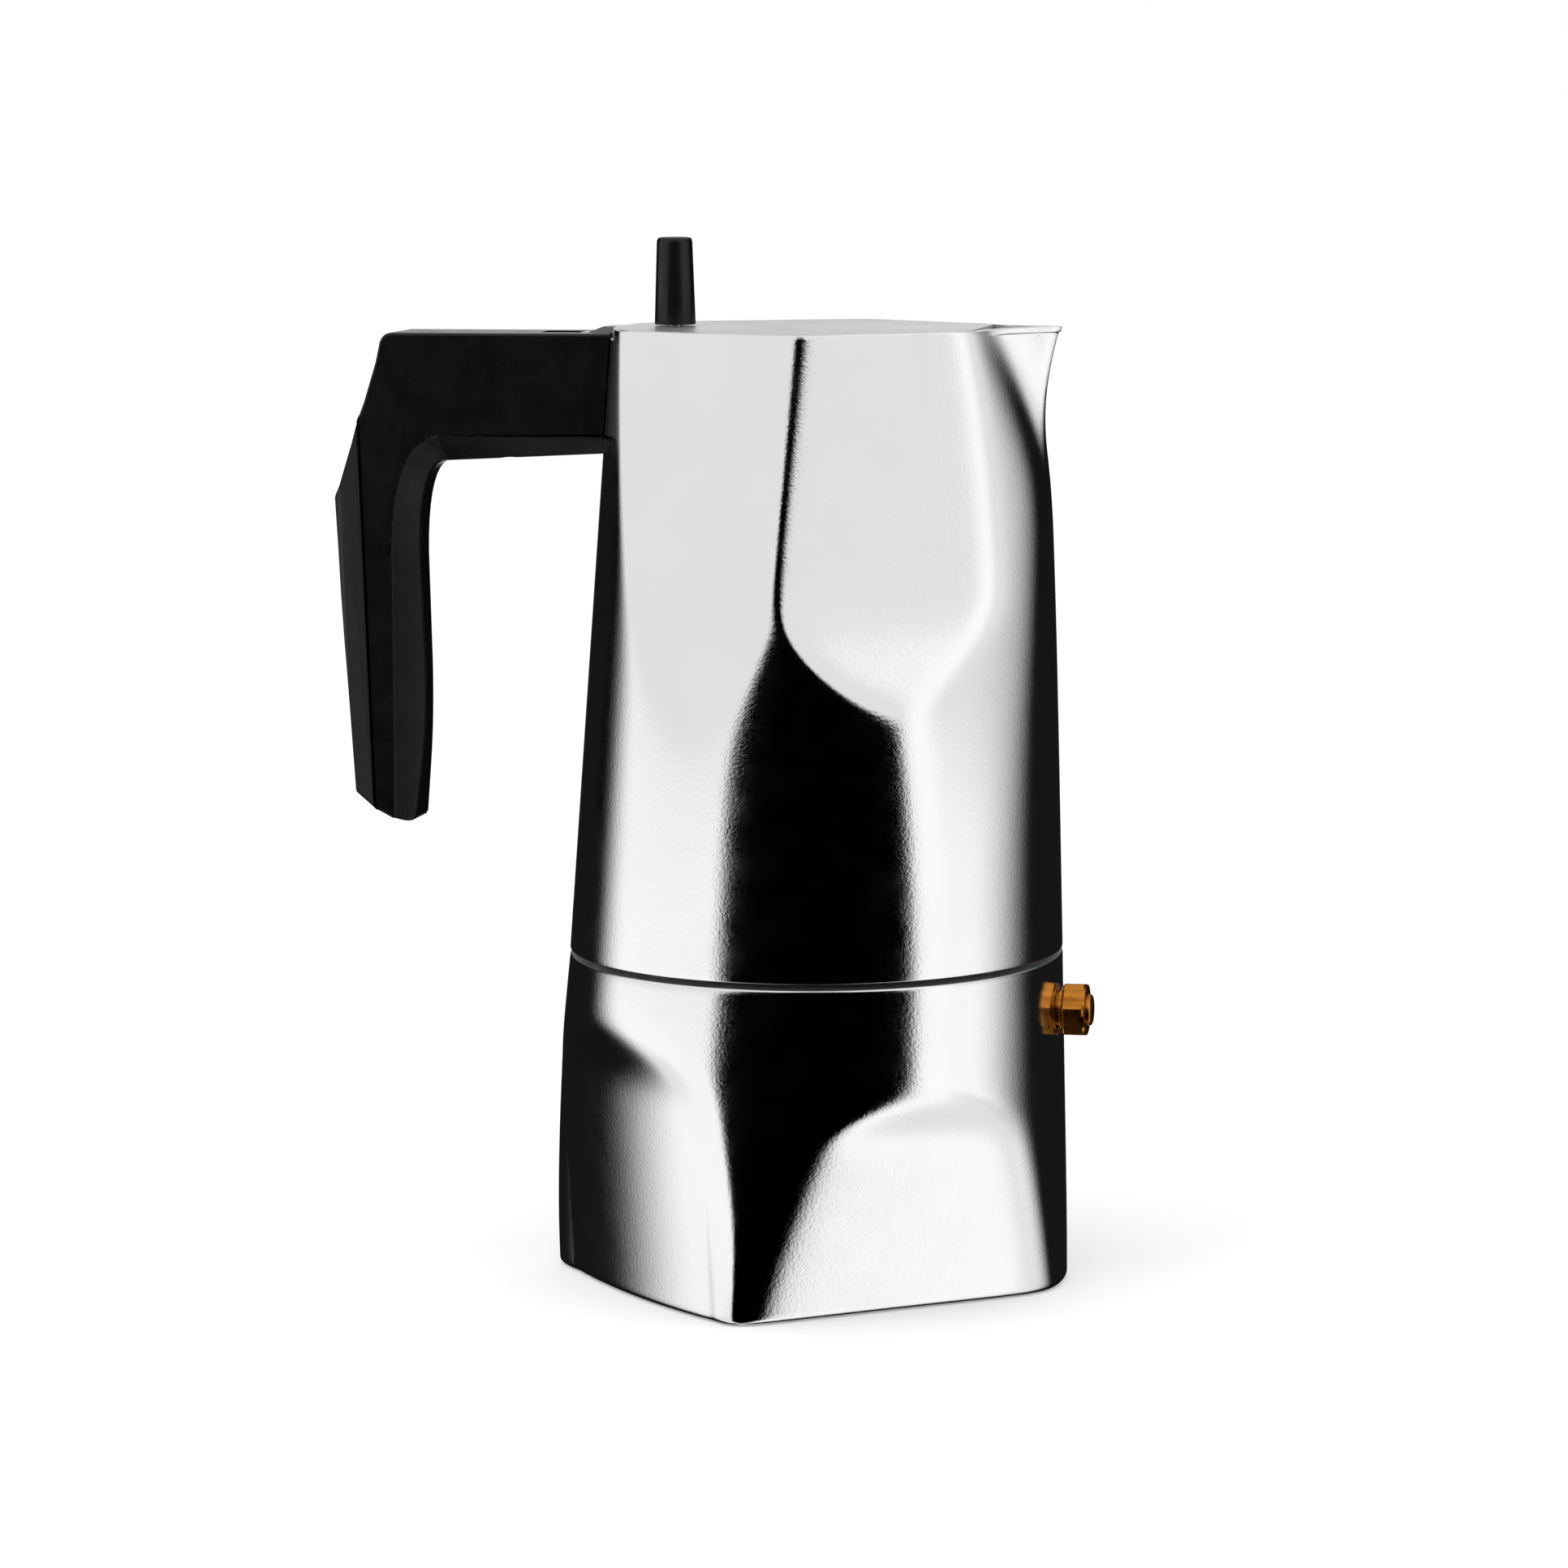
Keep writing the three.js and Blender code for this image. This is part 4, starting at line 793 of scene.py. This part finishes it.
def camera():
    turn = Matrix.Rotation(CAMERA_TURN, 3, "Z")
    level = math.cos(PITCH)
    forward = Vector((math.sin(YAW) * level, math.cos(YAW) * level, -math.sin(PITCH)))
    right = Vector((math.cos(YAW), -math.sin(YAW), 0))
    up = right.cross(forward)
    c, s = math.cos(ROLL), math.sin(ROLL)
    right, up = right * c + up * s, up * c - right * s
    axes = Matrix((turn @ right, turn @ up, turn @ -forward)).transposed()
    data = bpy.data.cameras.new("camera")
    data.sensor_width, data.lens = SENSOR_WIDTH, LENS
    data.clip_start, data.clip_end = 0.05, 60
    made = bpy.data.objects.new("camera", data)
    bpy.context.scene.collection.objects.link(made)
    place = turn @ Vector((0, -CAMERA_DISTANCE, CAMERA_HEIGHT)) * MM
    made.matrix_world = Matrix.Translation(place) @ axes.to_4x4()
    bpy.context.scene.camera = made


def floor():
    bpy.ops.mesh.primitive_plane_add(size=40, location=(0, 0, -0.0002))
    made = bpy.context.active_object
    made.name = "floor"
    look = Look("floor_paint", Roughness=0.9, Specular_IOR_Level=0.0, Emission_Strength=0.1)
    look.shader.inputs["Emission Color"].default_value = (1, 1, 1, 1)
    look.colour(look.noise(3, 3.0), 0.3, 0.7, (0.938, 0.938, 0.938), (0.945, 0.945, 0.945))
    made.data.materials.append(look.material)
    made.visible_glossy = False


def reflection_tent():
    """A light tent that only reflections see. It is white, with a dark opening on the photographed
    side, a strip light right of it, and a dark gap towards the back on each side. Azimuths are
    degrees from the opening's middle, positive to the right."""
    bpy.ops.mesh.primitive_uv_sphere_add(segments=64, ring_count=32, radius=6)
    made = bpy.context.active_object
    made.name = "tent"
    made.rotation_euler.z = CAMERA_TURN - math.pi / 2
    material = bpy.data.materials.new("tent_cloth")
    material.use_nodes = True
    tree = material.node_tree
    tree.nodes.clear()
    out = tree.nodes.new("ShaderNodeOutputMaterial")
    emission = tree.nodes.new("ShaderNodeEmission")
    tree.links.new(emission.outputs["Emission"], out.inputs["Surface"])
    coordinates = tree.nodes.new("ShaderNodeTexCoord")
    unit = tree.nodes.new("ShaderNodeVectorMath")
    unit.operation = "NORMALIZE"
    tree.links.new(coordinates.outputs["Object"], unit.inputs[0])
    parts = tree.nodes.new("ShaderNodeSeparateXYZ")
    tree.links.new(unit.outputs["Vector"], parts.inputs["Vector"])

    def calc(operation, *values):
        node = tree.nodes.new("ShaderNodeMath")
        node.operation = operation
        for socket, value in zip(node.inputs, values):
            if isinstance(value, (int, float)):
                socket.default_value = value
            else:
                tree.links.new(value, socket)
        return node.outputs["Value"]

    def ramp(value, low, high, to_low, to_high, smooth=True):
        node = tree.nodes.new("ShaderNodeMapRange")
        node.interpolation_type = "SMOOTHSTEP" if smooth else "LINEAR"
        for socket, number in zip(RANGE_SOCKETS, (low, high, to_low, to_high)):
            if isinstance(number, (int, float)):
                node.inputs[socket].default_value = number
            else:
                tree.links.new(number, node.inputs[socket])
        tree.links.new(value, node.inputs["Value"])
        return node.outputs["Result"]

    signed = calc("MULTIPLY", calc("ARCTAN2", parts.outputs["Y"], parts.outputs["X"]), 180 / math.pi)
    azimuth = calc("ABSOLUTE", signed)
    elevation = calc("MULTIPLY", calc("ARCSINE", parts.outputs["Z"]), 180 / math.pi)
    # half the width of the dark opening, which narrows upwards
    opening = ramp(elevation, 1, 22, 46, 12, smooth=False)
    front = ramp(azimuth, calc("SUBTRACT", opening, 0.6), calc("ADD", opening, 0.6), 0.0, 1.0)
    # the cloth fades into the dark gap on each side, and a narrow pale wall stands at the very back
    left = ramp(signed, -124, -102, 0.008, 1.0)
    right = ramp(signed, 76, 116, 1.0, 0.008)
    behind = ramp(azimuth, 171, 175, 0.0, 0.74)
    # the cloth is brightest a little below the horizon, and one upright strip is brighter still
    cloth = calc("MULTIPLY", ramp(elevation, -26, -16, 0.84, 1.03), ramp(elevation, -4, 4, 1.0, 0.8))
    strip = calc("MULTIPLY", ramp(signed, 47, 54, 0.0, 1.0), ramp(signed, 60, 74, 0.26, 0.0))
    cloth = calc("MAXIMUM", cloth, calc("ADD", 0.8, strip))
    above = ramp(elevation, 22, 40, 0.0, 0.72)
    around = calc("MULTIPLY", calc("MULTIPLY", front, calc("MULTIPLY", left, right)), cloth)
    glow = calc("MAXIMUM", calc("MAXIMUM", around, behind), above)
    tree.links.new(glow, emission.inputs["Strength"])
    emission.inputs["Color"].default_value = (1, 1, 1, 1)
    made.data.materials.append(material)
    made.visible_camera = made.visible_diffuse = made.visible_shadow = False
    made.visible_transmission = made.visible_volume_scatter = False


def light():
    world = bpy.data.worlds.new("world")
    world.use_nodes = True
    world.node_tree.nodes["Background"].inputs["Color"].default_value = (1, 1, 1, 1)
    world.node_tree.nodes["Background"].inputs["Strength"].default_value = 1.0
    bpy.context.scene.world = world
    lamps = [("key", (-0.9, -0.9, 1.6), 1.2, 6.0), ("fill", (1.3, -0.6, 1.2), 1.4, 3.0)]
    for name, place, size, power in lamps:
        data = bpy.data.lights.new(name, "AREA")
        data.shape, data.size, data.energy = "DISK", size, power
        made = bpy.data.objects.new(name, data)
        bpy.context.scene.collection.objects.link(made)
        made.location = place
        made.rotation_euler = (Vector((0, 0, 0.1)) - Vector(place)).to_track_quat("-Z", "Y").to_euler()
        made.visible_glossy = False
    bpy.context.scene.view_settings.view_transform = "Standard"


camera()
floor()
reflection_tent()
light()
boiler()
valve()
funnel()
jug()
lid()
knob()
handle()
